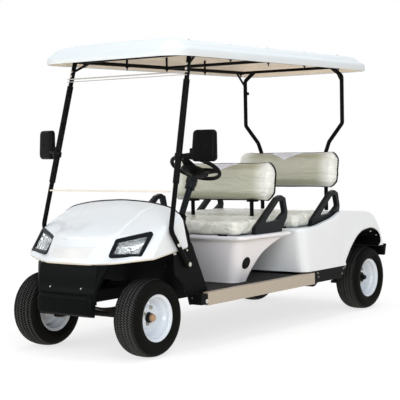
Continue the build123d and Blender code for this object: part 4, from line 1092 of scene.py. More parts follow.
canopy = crowned("canopy", [roof_ring(*edge) for edge in ROOF_LIP] + [roof_ring(draw) for draw in DRAWS],
                 1.9, (0, 0, 1), 0.0035)
settle(canopy, roof_white, "cart", "roof_plastic", "roof", smooth=30)
liner = crowned("roof_liner", [roof_ring(11, 6), roof_ring(11, 14)]
                + [roof_ring(draw + 10, lower=9) for draw in DRAWS[3:-1]], 1.88, (0, 0, -1), 0.0015)
settle(liner, liner_sand, "cart", "roof_plastic", "roof", smooth=30)

# --------------------------------------------------- struts and roof bolts
# Bent steel tubes carry the canopy; bolts go up through the rails, with
# their nuts hanging below, and clamps hold the windshield to the struts.
STRUT_LINE = ((477, 371, 1796), (527, 97, 748))
RAIL_Z = 1816
ROOF_BOLTS = (430, 860, 1300, 1760, 2230)
SCREW_X = 430
UPRIGHT = Matrix.Rotation(-pi / 2, 4, "Y")    # turns the X axis up


def strut_point(z, side=1, ahead=0.0):
    """Point on a front strut's middle line at a height, or some mm ahead of it."""
    (x1, s1, z1), (x0, s0, z0) = STRUT_LINE
    share = (z - z0) / (z1 - z0)
    return at(side * (x0 + share * (x1 - x0)), s0 + share * (s1 - s0) - ahead, z)


hangers = []
for side in (1, -1):
    for station in ROOF_BOLTS:
        place = at(side * 440, station, RAIL_Z - 13)
        shank = turned("shank", ((-4, 0.3), (-4, 4), (-22, 4), (-23, 3), (-23, 0.3)), 12)
        shank.data.transform(Matrix.Translation(place) @ UPRIGHT)
        hangers += [shank, bolt("hanger", place, (0, 0, -1), 0.0085, 0.013)]
settle(gathered("roof_bolt_ends", hangers), frame_paint, "cart", "black_steel")
crown_places = []
for station in ROOF_BOLTS[::2]:
    share = (station - ROOF_ENDS[0]) / (ROOF_ENDS[1] - ROOF_ENDS[0])
    draw = ROOF_HALVES[0] + (ROOF_HALVES[1] - ROOF_HALVES[0]) * share - SCREW_X
    crown_places.append((SCREW_X, station, ROOF_LOW + hermite(*SIDE_RISE, draw), (0.2, 0, 1)))
bolt_set("crown_screws", zinc, crown_places, 0.004, 0.0065)
clamp_screws = [bolt("clamp_screw", strut_point(z, side, 15.5), (0, -1, 0.2), 0.006, 0.009)
                for side in (1, -1) for z in (1722, 1752)]
settle(gathered("clamp_screws", clamp_screws), zinc, "cart", "bright_steel")
knob = turned("right_strut_knob", ((0, 0.4), (0, 7), (8, 8), (16, 12), (22, 12), (25, 9), (25, 0.4)), 20)
knob.data.transform(Matrix.Translation(at(-437, 2299, 1655)) @ Matrix.Rotation(pi / 2, 4, "Z"))
settle(knob, frame_paint, "cart", "black_steel")

# ------------------------------------------------------------- windshield
# Two clear acrylic panes, the upper one hinged to fold down: pale hinge
# strip at the split, a grey double edge strip along the top.
acrylic = clear("clear_acrylic", (0.99, 0.995, 0.995), 0.0005, 1.002, alpha=0.12)
dress(acrylic, "windshield_upper", "windshield_lower")
strip_grey = finish("grey_edge_strip", (0.42, 0.41, 0.40), 0.4, 0.05, patch=20, grain=0.2)
strip_cream = finish("cream_hinge_strip", (0.70, 0.66, 0.58), 0.45, 0.05, patch=20, grain=0.2)
PANE_AHEAD = 23.5                  # mm from the struts' middle line to the panes
STRIP_HALF_THICK = 5.5
STRIP_COLUMNS = (-495.5, -494.5, -330, -160, 0, 160, 330, 494.5, 495.5)


def squared(value, power):
    """Pushes a sine or cosine outwards, so that a round becomes squarer."""
    return value * abs(value) ** -power if abs(value) > 1e-6 else 0


def pane_strip(name, z, tall, material):
    """Strip with rounded edges wrapped across the panes."""
    rows = []
    centre = strut_point(z, 0, PANE_AHEAD)
    for k in range(17):
        a = tau * k / 16
        thick = STRIP_HALF_THICK * squared(cos(a), 0.4)
        high = tall / 2 * squared(sin(a), 0.4)
        rows.append([centre + Vector((x, thick, high)) / 1000 for x in STRIP_COLUMNS])
    piece = skin(name, rows, True)
    with editing(piece):
        bpy.ops.mesh.fill_holes(sides=0)
        bpy.ops.mesh.normals_make_consistent(inside=False)
    settle(piece, material, "cart", "black_plastic", smooth=40)


pane_strip("upper_pane_top_strip", 1702, 8, strip_grey)
pane_strip("upper_pane_second_strip", 1684, 5, strip_grey)
pane_strip("pane_hinge_strip", 980, 10, strip_cream)

# ---------------------------------------------------------------- mirrors
# Two moulded mirror heads on short ball arms clamped round the struts, each
# with a flat plated glass inside its rolled rim.
MIRROR_PLACE = (655, 276, 1268)
MIRROR_TURN = radians(14)
MIRROR_HALF = (76, 96)
GLASS_HALF = (67, 87)
MIRROR_LIFTS = (-17, 6)            # how much higher the left and right mirrors are set
mirror_black = finish("mirror_black_plastic", (0.0030, 0.0032, 0.0034), 0.30, 0.08, 0.25, (0.02, 0.02, 0.022),
                      patch=18, grain=0.35, grain_scale=450, specular=0.045)
mirror_plate = finish("mirror_plating", (0.86, 0.87, 0.88), 0.03, 0.02, metallic=1.0, patch=20)


def rounded_box_ring(half_x, half_z, bend, y, steps=8):
    """Upright rectangle with rounded corners, in metres from sizes in mm."""
    ring = []
    for cx, cz, start in ((1, 1, 0), (-1, 1, 90), (-1, -1, 180), (1, -1, 270)):
        for j in range(steps + 1):
            a = radians(start + 90 * j / steps)
            ring.append(Vector((cx * (half_x - bend) + bend * cos(a), y,
                                cz * (half_z - bend) + bend * sin(a))) / 1000)
    return ring


def mirror_head():
    """Domed shell with a rolled rim, stepped out along its lower half."""
    half_x, half_z = MIRROR_HALF
    rings = [rounded_box_ring(half_x - inset, half_z - inset, bend, y) for inset, bend, y in (
        (9, 18, 14), (8, 19, 19.6), (5, 22, 20), (1, 25, 17), (0, 26, 12), (1, 26, 0), (5, 26, -9),
        (13, 24, -14.5))]
    for k in range(1, 9):
        share = 1 - k / 8.01
        rings.append([Vector((p.x * share, -0.0145 - 0.002 * (1 - share ** 2), p.z * share))
                      for p in rings[7]])
    for ring in rings[5:]:
        for p in ring:
            step = between((-0.006 - p.z) / 0.010, 0, 1)
            p.y -= 0.0060 * eased(step)
            p.x -= 0.010 * step * between(-p.x / 0.05, 0, 1)
    return closed_rings("mirror_head", rings)


head = mirror_head()
glass_edge = rounded_box_ring(*GLASS_HALF, 18, 17)
glass = closed_rings("mirror_glass", [rounded_box_ring(*GLASS_HALF, 18, 14.5), glass_edge]
                     + [[Vector((p.x * s, p.y, p.z * s)) for p in glass_edge] for s in (0.7, 0.35, 0.002)])
home = Matrix.Translation(at(*MIRROR_PLACE)) @ Matrix.Rotation(MIRROR_TURN, 4, "Z")
for piece in (head, glass):
    piece.data.transform(home)
facing(glass, (0, 1, 0))
root = strut_point(MIRROR_PLACE[2] - 62)
tip = at(MIRROR_PLACE[0] - 34, MIRROR_PLACE[1] - 6, MIRROR_PLACE[2] - 50)
arm = bead("mirror_arm", [root, root.lerp(tip, 0.3) + Vector((0, -0.012, 0.004)),
                          root.lerp(tip, 0.7) + Vector((0, -0.014, 0.006)), tip], 0.009, 16)
collar = turned("collar", ((-17, 20.4), (-17, 26), (-14, 28), (14, 28), (17, 26), (17, 20.4)), 32)
stood(collar, root, strut_point(1500) - strut_point(900))
ball = turned("ball", [(14 * cos(radians(a)), max(0.2, 14 * sin(radians(a)))) for a in range(0, 181, 15)], 24)
ball.data.transform(Matrix.Translation(tip))
bracket = closed_rings("bracket", [rounded_box_ring(half_x, half_z, 9, y) for half_x, half_z, y in (
    (1, 1, -17), (18, 30, -17), (22, 34, -14), (22, 34, 8), (18, 30, 12), (1, 1, 12))])
bracket.data.transform(Matrix.Translation(at(MIRROR_PLACE[0] - 76, MIRROR_PLACE[1] - 8, MIRROR_PLACE[2] - 48))
                       @ Matrix.Rotation(MIRROR_TURN, 4, "Z"))
arm = gathered("mirror_arm", [arm, collar, ball, bracket])
for piece, *settling in ((head, mirror_black, "cart", "black_gloss", "mirror_heads"),
                         (glass, mirror_plate, "cart", "mirror_glass", "mirror_glasses"),
                         (arm, mirror_black, "cart", "black_gloss", "mirror_heads")):
    both_sides(piece, "", *settling, lifts=MIRROR_LIFTS, smooth=40)

# --------------------------------------------------------------- steering
# A soft black wheel with a dished hub and three wide spokes on a leaning
# column, with a clamp, a rubber boot at the dash and a selector stalk.
WHEEL_CENTRE = (262, 700, 1108)
COLUMN_LEAN = radians(28)
WHEEL_R = 160
GRIP_R = 13
SWELLS = 36
SPOKE_START = 30                   # mm from the middle of the hub
wheel_black = finish("soft_black_grip", (0.0048, 0.0048, 0.005), 0.48, 0.10, 0.3, (0.03, 0.03, 0.03),
                     patch=25, grain=0.6, grain_scale=520, specular=0.06)
column_home = Matrix.Translation(at(*WHEEL_CENTRE)) @ Matrix.Rotation(-COLUMN_LEAN, 4, "X")


def wheel_grip():
    """Ring with shallow finger swells, deepest on its underside."""
    start_clean()
    bpy.ops.mesh.primitive_torus_add(major_segments=144, minor_segments=20, major_radius=WHEEL_R / 1000,
                                     minor_radius=GRIP_R / 1000)
    piece = bpy.context.object
    middle = WHEEL_R / 1000
    for corner in piece.data.vertices:
        x, y, z = corner.co
        reach = hypot(x, y)
        swell = 1 - 0.07 * (0.5 + 0.5 * cos(atan2(y, x) * SWELLS)) * (1 if z < 0.002 else 0.3)
        corner.co = Vector((x, y, 0)) * ((middle + (reach - middle) * swell) / reach)
        corner.co.z = z * swell * 1.05
    return piece


def wheel_spoke(angle):
    """Broad spoke rising from the dished hub to the grip."""
    rows = []
    for k in range(13):
        share = k / 12
        reach = SPOKE_START + (WHEEL_R - 4 - SPOKE_START) * share
        half = 58 - 30 * share + 9 * max(0, share - 0.8) / 0.2
        drop = -24 * (1 - share) ** 1.4
        row = [Vector((reach, half * squared(cos(a), 0.35), drop + 5.5 * sin(a))) / 1000
               for a in (tau * j / 16 for j in range(16))]
        rows.append(row + row[:1])
    piece = skin("spoke", rows, True)
    piece.data.transform(Matrix.Rotation(angle, 4, "Z"))
    return piece


hub = turned("hub", ((-48, 12), (-48, 30), (-42, 38), (-38, 60), (-33, 84), (-26, 92), (-18, 88), (-9, 60),
                     (-5, 30), (-4, 0.3), (-30, 0.3)), 64)
shaft = turned("shaft", ((-88, 0.3), (-88, 9), (-44, 9), (-44, 0.3)), 24)
for piece in (hub, shaft):
    piece.data.transform(UPRIGHT)
wheel_piece = gathered("hand_wheel", [wheel_grip(), hub, shaft]
                       + [wheel_spoke(radians(angle)) for angle in (-90, 18, 162)])
wheel_piece.data.transform(column_home)
settle(wheel_piece, wheel_black, "steering_wheel", "black_gloss", "steering_wheel", smooth=40)

column_black = finish("column_black_paint", (0.0042, 0.0060, 0.0078), 0.34, 0.10, 0.25, (0.035, 0.035, 0.04),
                      patch=20, grain=0.2, grain_scale=400, specular=0.11)
dress(column_black, "steering_column")


def on_column(name, outline, steps=40):
    """Part turned round the column; its points are mm below the hand wheel and mm out."""
    piece = turned(name, [(-down, out) for down, out in outline], steps)
    piece.data.transform(column_home @ UPRIGHT)
    return piece


boot_outline = [(330, 19)]
for k in range(9):
    boot_outline += [(338 + 14 * k, 34 + 2.2 * k), (345 + 14 * k, 28 + 2.2 * k)]
boot_outline += [(466, 50), (470, 19)]
settle(on_column("column_boot", boot_outline), trim_rubber, "cart", "black_plastic", smooth=50)
clamp = on_column("column_clamp", [(74, 30), (74, 37), (77, 40), (116, 40), (120, 37), (121, 30)], 6)
settle(clamp, column_black, "cart", "black_gloss", smooth=30)
stalk_start = column_home @ Vector((0.03, -0.02, -0.100))
stalk_end = column_home @ Vector((0.165, -0.075, -0.075))
stalk_middle = stalk_start.lerp(stalk_end, 0.5) + Vector((0, 0, 0.004))
stalk = bead("stalk", [stalk_start, stalk_middle, stalk_end], 0.0042, 12)
tip_knob = bead("tip", [stalk_start.lerp(stalk_end, 0.8), stalk_end, stalk_start.lerp(stalk_end, 1.12)],
                0.0085, 12)
settle(gathered("selector_stalk", [stalk, tip_knob]), column_black, "cart", "black_gloss", smooth=50)

# ----------------------------------------------------------------- pedals
# Two hanging pedals in black painted steel with ribbed rubber pads.
PAD_RIB_STATION = 444.5
dress(frame_paint, "pedals")
soften("pedals", 0.003)
pad_bars = []
for x, width in ((340, 46), (215, 76)):
    for k in range(6):
        ends = [at(x + half, PAD_RIB_STATION, 441 + 15.5 * k) for half in (-width / 2, width / 2)]
        pad_bars.append(bead("pad_bar", ends, 0.0035, 8))
settle(gathered("pedal_pad_ribs", pad_bars), trim_rubber, "cart", "black_plastic", smooth=50)

# ------------------------------------------------------------ dash fittings
# A key switch and a charge gauge, each in a round bezel on the black dash.
dash_bits = []
for x, station, z, r in ((150, 316, 885, 15), (90, 316, 890, 20)):
    ring = turned("dash_ring", ((-3, 0.3), (-3, r), (2, r), (4, r - 2), (4, r - 5), (2, r - 6), (2, 0.3)), 32)
    dash_bits.append(stood(ring, at(x, station, z), (0, 0.9, 0.35)))
settle(gathered("dash_switches", dash_bits), bezel_black, "cart", "black_gloss", smooth=40)

# ---------------------------------------------------------- floor and sills
# A ribbed rubber mat on the moulded floor, closed at each side by an
# extruded aluminium sill with a plain satin face.
RIB_PITCH = 0.012


def ribbed_mat():
    material = finish("ribbed_mat_rubber", (0.019, 0.0175, 0.0175), 0.66, 0.12, 0.2, (0.04, 0.037, 0.037), 0.08,
                      (0.07, 0.06, 0.055), patch=5, grain=0.5, grain_scale=400, specular=0.10)
    tree = material.node_tree
    place = add_node(tree, "TexCoord").outputs["Object"]
    across = add_node(tree, "SeparateXYZ", {0: place}).outputs["X"]
    wave = math_node(tree, "SINE", math_node(tree, "MULTIPLY", across, tau / RIB_PITCH))
    feed(tree.nodes["Principled BSDF"], {"Normal": bumped(tree, wave, 1.0, 0.0016)})
    return material


dress(ribbed_mat(), "floor_mat")
# The sill's tan is partly a painted reflection of warm ground in the satin aluminium.
sill_metal_painted_reflection = finish("satin_sill_aluminium", (0.40, 0.335, 0.25), 0.40, 0.05, 0.4, (0.62, 0.60, 0.57), 0.2,
                    (0.36, 0.30, 0.23), patch=4, metallic=0.35, grain=0.15, grain_scale=700)
dress(sill_metal_painted_reflection, "sill_trims")
soften("sill_trims", 0.002)
bolt_set("skirt_bolts", nut_steel, [(585.5, station, z, (1, 0, 0)) for station, z in (
    (1665, 318), (1660, 345), (2010, 345), (1990, 310), (2035, 352))], 0.005, 0.007)

# --------------------------------------------------------- front seat pod
# The moulded white tub that carries the front seat: tapered walls under a
# rolled rim, a sloping back, and a black vent cap in each side.
POD_LEVELS = (  # z: half width, front station, corner radius
    (350, 446, 850, 62), (356, 447, 849, 66), (420, 465, 837, 68), (520, 493, 818, 70),
    (600, 516, 803, 70), (618, 521, 800, 70), (626, 527, 797, 70), (631, 538, 791, 70),
    (634, 553, 782, 68), (637, 565, 776, 66), (642, 571, 772.6, 64), (649, 572, 772, 62),
    (655, 571, 773, 60), (660, 566, 776, 57), (662, 558, 781, 54),
)
POD_BACK = ((350, 400, 456, 525, 584, 620, 630, 637, 649, 662),
            (1015, 1036, 1071, 1131, 1234, 1330, 1352, 1370, 1378, 1366))
POD_SHELF = ((662.3, 10), (661.4, 20), (661, 60))   # z, drawn in from the rim's top
POD_OPENING = (470, 812, 1290)
POD_STEPS = (26, 40)               # steps along each side and each end
VENT = (483, 935, 477)


def pod_ring(z, half, front, bend, back=None):
    """Outline of the tub at a height, straight in front and behind."""
    rear = back if back else hermite(*POD_BACK, z)
    rear_bend = min(46, bend)
    ring = []
    for side, station, start in ((1, front, -90), (1, rear, 0), (-1, rear, 90), (-1, front, 180)):
        r = bend if station == front else rear_bend
        cx, cy = side * (half - r), station + (r if station == front else -r)
        for j in range(13):
            a = radians(start + 90 * j / 12)
            ring.append((cx + r * cos(a), cy + r * sin(a)))
    dense = []
    for k, here in enumerate(ring):
        nearby = ring[(k + 1) % len(ring)]
        far = hypot(nearby[0] - here[0], nearby[1] - here[1])
        count = POD_STEPS[k // 13 % 2] if k % 13 == 12 else 1
        for j in range(count):
            t = j / count
            dense.append(at(here[0] + (nearby[0] - here[0]) * t, here[1] + (nearby[1] - here[1]) * t, z))
    return dense


half, front, rear = POD_OPENING
rings = []
for level, above in zip(POD_LEVELS, POD_LEVELS[1:]):
    steps = 6 if above[0] - level[0] > 20 else 1
    rings += [pod_ring(*(a + (b - a) * j / steps for a, b in zip(level, above))) for j in range(steps)]
_, top_half, top_front, _ = POD_LEVELS[-1]
rings.append(pod_ring(*POD_LEVELS[-1]))
rings += [pod_ring(z, top_half - draw, top_front + draw, 52, POD_BACK[1][-1] - draw) for z, draw in POD_SHELF]
rings += [pod_ring(661, half, front, 40, rear), pod_ring(659, half - 1, front + 1, 40, rear - 1),
          pod_ring(600, half - 3, front + 3, 40, rear - 40)]
pod = closed_rings("pod", rings)
# Shaded copy of the body white: the pod's base is set lighter and lilac-grey, unlike the hood's copy of the same
# white, for the shade on the pod's front.
pod_white_lightened_for_shade = finish("white_body_shaded", (0.77, 0.77, 0.81), 0.34, 0.02, 0.1, (0.86, 0.86, 0.86), 0.14,
                       (0.55, 0.47, 0.40), patch=3, grain=0.12, grain_scale=160, waves=0.8, coat=0.25)
settle(walled(pod, 0.004), pod_white_lightened_for_shade, "cart", "white_body", "front_seat_pod", smooth=40)
vents = []
for side in (1, -1):
    cap = turned("vent", ((-3, 0.3), (-3, 41), (1.5, 41), (3.5, 39.5), (3.5, 35), (1.2, 33.5), (1.2, 30),
                          (2.6, 28.5), (2.6, 0.3)), 48)
    vents.append(stood(cap, at(side * VENT[0], *VENT[1:]), (side * 0.96, 0, -0.28)))
settle(gathered("pod_vent_caps", vents), moulded_black, "cart", "black_plastic", smooth=40)

# -------------------------------------------------------------- rear body
# The rear moulding: a seat deck between raised side rims, rounded shoulders
# falling to the tail, and a flared lip round each wheel arch.
BODY_SIDE = (  # station, z round the side, with the steps between points
    (1500, 364, 14), (1464, 640, 6), (1468, 668, 16), (1670, 676, 20), (1890, 718, 18),
    (2022, 764, 20), (2415, 736, 8), (2505, 702, 10), (2596, 622, 8), (2645, 560, 6),
    (2668, 500, 3), (2660, 470, 3), (2618, 470, 0),
)
BODY_DECK = (
    (1500, 364), (1464, 640), (1468, 668), (1670, 668), (1900, 668), (2046, 668), (2070, 762),
    (2505, 702), (2596, 622), (2645, 560), (2668, 500), (2660, 470), (2618, 470),
)
BODY_REACH = 588
DECK_EDGE = 546
PLAN_BEND = 76
ARCH = ((1546, 364), (2050, 364), (2136, 474), (2223, 556), (2309, 598), (2434, 611), (2500, 600),
        (2550, 576), (2588, 536), (2618, 470))
HATCH = (470, 1560, 2000)
SIDE_COLUMNS = 26
LIP_STANDS = (3, 22)               # how far in the last two lines round the arch are
FLARE_FROM = 1950                  # station behind which the arch lip is flared
FLARE_STAND = 6.5


def body_profile(x):
    """Side view of the body at a distance from the middle: stations and heights."""
    deck = abs(x) < DECK_EDGE
    points = [(*p[:2], 0) for p in (BODY_DECK if deck else BODY_SIDE)]
    way = rounded_way(points, [count for _, _, count in BODY_SIDE], 5 if deck else 9)
    over = abs(x) - (BODY_REACH - PLAN_BEND)
    back = PLAN_BEND - (PLAN_BEND ** 2 - over ** 2) ** 0.5 if over > 0 else 0
    for p in way:
        p.x += back * max(0, 1 - max(0, p.x - 1464) / 260)
        p.x -= back * between((p.x - 2400) / 240, 0, 1) ** 1.3
    return [(p.x, p.y) for p in way]


def lengths_along(line):
    """Distance from the start of a line to each of its points."""
    lengths = [0]
    for here, nearby in zip(line, line[1:]):
        lengths.append(lengths[-1] + hypot(nearby[0] - here[0], nearby[1] - here[1]))
    return lengths


def arch_point(share):
    """Station and height at a share of the way round the arch."""
    lengths = lengths_along(ARCH)
    far = share * lengths[-1]
    k = min(max(i for i, length in enumerate(lengths) if length <= far), len(ARCH) - 2)
    t = (far - lengths[k]) / (lengths[k + 1] - lengths[k])
    (a, b), (c, d) = ARCH[k:k + 2]
    return a + (c - a) * t, b + (d - b) * t


def arch_distance(station, z):
    """Shortest distance to the arch behind its first straight."""
    best = 1e9
    for (a, b), (c, d) in zip(ARCH[1:], ARCH[2:]):
        length = (c - a) ** 2 + (d - b) ** 2
        t = between(((station - a) * (c - a) + (z - b) * (d - b)) / length, 0, 1)
        best = min(best, hypot(station - a - t * (c - a), z - b - t * (d - b)))
    return best


def flare_stand(station, z):
    """How far the plain side sits inside the flared lip."""
    if station <= FLARE_FROM:
        return 0
    inside = eased((arch_distance(station, z) - 42) / 26)
    return FLARE_STAND * inside * min(1, (station - FLARE_FROM) / 90)


def body_shell():
    """Deck and tail, a side panel down to each arch, and a turned-in lip."""
    middle = [DECK_EDGE * (k / 26) for k in range(26)] + [DECK_EDGE + out for out in (-1, 0, 4, 10)]
    middle += [560, 565, 570, 574, 578, 581, 584, 586.5, BODY_REACH]
    faces = [[at(x, *p) for p in body_profile(x)] for x in [-x for x in middle[::-1]] + middle[1:]]
    edge = body_profile(BODY_REACH)
    lengths = lengths_along(edge)
    for side in (-1, 1):
        panel = []
        for step in range(1, SIDE_COLUMNS + 3):
            share = min(1, step / SIDE_COLUMNS) ** 0.9
            line = []
            for (station, z), length in zip(edge, lengths):
                low = arch_point(length / lengths[-1])
                station, z = station + (low[0] - station) * share, z + (low[1] - z) * share
                stand = flare_stand(station, z)
                if step > SIDE_COLUMNS:
                    stand = LIP_STANDS[step - SIDE_COLUMNS - 1]
                line.append(at(side * (BODY_REACH - stand), station, z))
            panel.append(line)
        faces = panel[::-1] + faces if side < 0 else faces + panel
    shell = skin("rear_body_shell", faces)
    for low, high, foot, repeat in ((0.556, 0.5881, 0.375, 16), (0.5375, 0.5562, 0, 3)):
        with editing(shell, lambda corner: low < abs(corner.co.x) <= high and corner.co.z > foot
                     and not corner.is_boundary):
            bpy.ops.mesh.vertices_smooth(factor=0.5, repeat=repeat)
    walled(facing(shell, (0, 0, 1)), 0.004)
    half, front, rear = HATCH
    start_clean()
    bpy.ops.mesh.primitive_cube_add(size=1, location=at(0, (front + rear) / 2, 668),
                                    scale=(2 * half / 1000, (rear - front) / 1000, 0.05))
    return carved(shell, bpy.context.object)


# Another copy of the body white, set lighter and bluer than the hood's copy of the same white, for the way light
# falls on the rear body: painted light.
rear_white_toned_for_light = finish("white_body_rear_toned_for_light", (0.77, 0.815, 0.85), 0.32, 0.02, 0.1, (0.86, 0.86, 0.86), 0.10,
                         (0.55, 0.50, 0.44), patch=3, grain=0.12, grain_scale=160, waves=0.8, coat=0.3)
settle(body_shell(), rear_white_toned_for_light, "cart", "white_body", "rear_body", smooth=34)
bolt_set("arch_bolts", zinc, [(560, station, z, (0, 0.3, -1)) for station, z in ((2560, 552), (2470, 586))],
         0.006, 0.009)

# ----------------------------------------------------- batteries and lamps
# One block stands for the batteries under the seats; red moulded lamps
# are let into the tail.
case_dark = finish("battery_case_plastic", (0.02, 0.02, 0.022), 0.5, 0.1, 0.3, (0.12, 0.12, 0.12), 0.3,
                   patch=12, grain=0.4, grain_scale=300)
dress(case_dark, "battery_pack")
soften("battery_pack", 0.006)
lamp_red = clear("red_lamp_lens", (0.50, 0.012, 0.010), 0.12, 1.45, 0.6, 260.0, transmission=0.25)
dress(lamp_red, "taillights")
soften("taillights", 0.004)

# ---------------------------------------------------------- hip restraints
# Thick moulded loops bolted on the rims beside each seat.
dress(column_black, "hip_restraints")
soften("hip_restraints", 0.0095, 4, 50)

# ------------------------------------------------------------ seat padding
# Foam pads under cream vinyl with the maker's clear film still on them:
# bench cushions hinged at the front, backrests with black piping.
PAD_VOXEL = 0.008
PAD_EDGE = 0.026
PAD_DRAW_IN = 0.024                # how far the front of a rounded pad is drawn in
PRESSED_FRAMES = 20
# Backrest cream, set far darker than the cushions' copy of the same vinyl: a shaded copy.
CREAM = (0.35, 0.355, 0.265)
BACK_LEAN = radians(8)
PIPING_R = 6.4


def vinyl(name, base, film, stretch_by, crease, crease_scale, lines, end_sheen):
    """Cream vinyl under a clear film, with painted highlights: bright lines along its folds, and a painted pale
    sheen where it is gathered at the ends.
    """
    material = finish(name, base, 0.42, 0.06, patch=9)
    tree = material.node_tree
    shader = tree.nodes["Principled BSDF"]
    place = add_node(tree, "TexCoord").outputs["Object"]
    stretch = add_node(tree, "Mapping", {"Vector": place, "Scale": stretch_by})
    creases = cloud_node(tree, stretch.outputs["Vector"], crease_scale, 6, Distortion=1.4)
    ridge = math_node(tree, "ABSOLUTE", math_node(tree, "SUBTRACT", creases, 0.5))
    # Thin bright lines along the fold ridges: painted glints.
    bright = add_node(tree, "MapRange", {"Value": ridge, "From Min": 0.045, "From Max": 0.006, "To Max": lines},
                      interpolation_type="SMOOTHSTEP")
    across = math_node(tree, "ABSOLUTE", add_node(tree, "SeparateXYZ", {0: place}).outputs["X"])
    # Pale band towards the pad's ends: a painted sheen of the film.
    ends = add_node(tree, "MapRange", {"Value": across, "From Min": 0.27, "From Max": 0.40, "To Max": end_sheen},
                    interpolation_type="SMOOTHSTEP")
    painted_end_sheen = math_node(tree, "MULTIPLY", ends.outputs["Result"], math_node(tree, "ADD", creases, 0.45))
    # Painted highlights: the fold lines and the gathered ends are mixed towards near-white for the film's glints
    # and reflections.
    pale = blend_colours(tree, math_node(tree, "MAXIMUM", bright.outputs["Result"], painted_end_sheen),
                         shader.inputs["Base Color"].links[0].from_socket, (0.84, 0.86, 0.84, 1))
    leather = add_node(tree, "TexVoronoi", {"Scale": 620, "Vector": place}).outputs["Distance"]
    mixed = math_node(tree, "ADD", ridge, math_node(tree, "MULTIPLY", leather, 0.02))
    normal = bumped(tree, mixed, crease, 0.03, invert=True)
    feed(shader, {"Base Color": pale, "Normal": normal, "Coat Normal": normal, "Coat Weight": film,
                  "Coat Roughness": 0.12})
    return material


def plain_copy(name, source):
    """Merged copy of a CAD node's mesh."""
    piece = twin(node[source], name, Matrix())
    piece.parent = None
    piece.matrix_world = Matrix()
    with editing(piece):
        bpy.ops.mesh.remove_doubles(threshold=1e-5)
    return piece


def fitted(piece, home, halves):
    """Scales a pad in its own frame to its half sizes."""
    local = [home.inverted() @ corner.co for corner in piece.data.vertices]
    low = [min(p[i] for p in local) for i in range(3)]
    high = [max(p[i] for p in local) for i in range(3)]
    for corner, p in zip(piece.data.vertices, local):
        spot = Vector([(p[i] - (low[i] + high[i]) / 2) / ((high[i] - low[i]) / 2) * halves[i] for i in range(3)])
        corner.co = home @ spot


def corners_rounded(piece, home, halves, radius, taper):
    """Rounds a pad's outline and draws its front in, so that its back edge is widest."""
    back = home.inverted()
    for corner in piece.data.vertices:
        p = back @ corner.co
        share = between((halves[1] * 0.75 - p.y) / (halves[1] * 1.75), 0, 1)
        for i in (0, 2):
            p[i] *= 1 - taper * share ** 2 / halves[i] * min(1, abs(p[i]) / halves[i]) ** 3
        over = Vector((abs(p.x) - (halves[0] - radius), abs(p.z) - (halves[2] - radius)))
        if over.x > 0 and over.y > 0 and over.length > radius:
            over *= radius / over.length
            p.x = (1 if p.x > 0 else -1) * (halves[0] - radius + over.x)
            p.z = (1 if p.z > 0 else -1) * (halves[2] - radius + over.y)
        corner.co = home @ p


def puffed(name, source, home, halves, most, rounding=None):
    """Pad swollen by cloth pressure from a rounded block, capped, fitted and subdivided."""
    piece = plain_copy(name, source)
    apply_modifier(piece, "DECIMATE", decimate_type="DISSOLVE", angle_limit=radians(2))
    apply_modifier(piece, "BEVEL", width=PAD_EDGE, segments=5, limit_method="ANGLE", angle_limit=radians(50))
    fitted(piece, home, [halves[0] - 0.010, halves[1] - 0.008, halves[2] - 0.008])
    apply_modifier(piece, "REMESH", mode="VOXEL", voxel_size=PAD_VOXEL)
    if rounding:
        corners_rounded(piece, home, halves, rounding, 0.0)
    start = [corner.co.copy() for corner in piece.data.vertices]
    cloth = add_modifier(piece, "CLOTH")
    cloth.settings.use_pressure = True
    cloth.settings.uniform_pressure_force = 4.0
    cloth.settings.effector_weights.gravity = 0.0
    cloth.settings.quality = 5
    for moment in range(PRESSED_FRAMES):
        bpy.context.scene.frame_set(moment + 1)
    bpy.ops.object.modifier_apply(modifier=cloth.name)
    bpy.context.scene.frame_set(1)
    for corner, before in zip(piece.data.vertices, start):
        move = corner.co - before
        if move.length > most:
            corner.co = before + move.normalized() * most
    apply_modifier(piece, "SMOOTH", iterations=8)
    fitted(piece, home, halves)
    if rounding:
        corners_rounded(piece, home, halves, rounding, PAD_DRAW_IN)
    apply_modifier(piece, "SUBSURF", levels=1, render_levels=1)
    return piece


def pleated(piece, strength, wave, seed, home, ends=None):
    """Moves the film's folds in: ridges of stretched noise, stronger near the ends."""
    mesh = piece.data
    normals = [corner.normal.copy() for corner in mesh.vertices]
    back = home.inverted()
    for corner, normal in zip(mesh.vertices, normals):
        p = back @ corner.co
        q = Vector((p.x * wave[0], p.y * wave[1], p.z * wave[2])) + Vector((seed, seed * 0.7, 0))
        q += Vector((noise.noise(q * 0.6), noise.noise(q * 0.6 + Vector((9, 0, 0))), 0)) * 0.7
        fold = 1 - abs(noise.noise(q) * 2.3)
        fine = 1 - abs(noise.noise(q * 2.4) * 2.0)
        level = strength * (0.8 * max(0, fold) ** 2 + 0.4 * max(0, fine) ** 2 - 0.5)
        if ends:
            level *= 0.3 + 0.7 * between((abs(p.x) - ends[0]) / (ends[1] - ends[0]), 0, 1)
        corner.co += normal * level


def rim_of(piece, home, depth, count=160):
    """Outline of a pad at a depth behind its middle, found from outside."""
    line = []
    for k in range(count):
        a = tau * k / count
        way = Vector((cos(a), 0, sin(a)))
        hit, spot, _, _ = piece.ray_cast(home @ (Vector((0, depth, 0)) + way * 0.9), home.to_3x3() @ -way)
        if hit:
            line.append(spot + home.to_3x3() @ way * 0.0030)
    return line


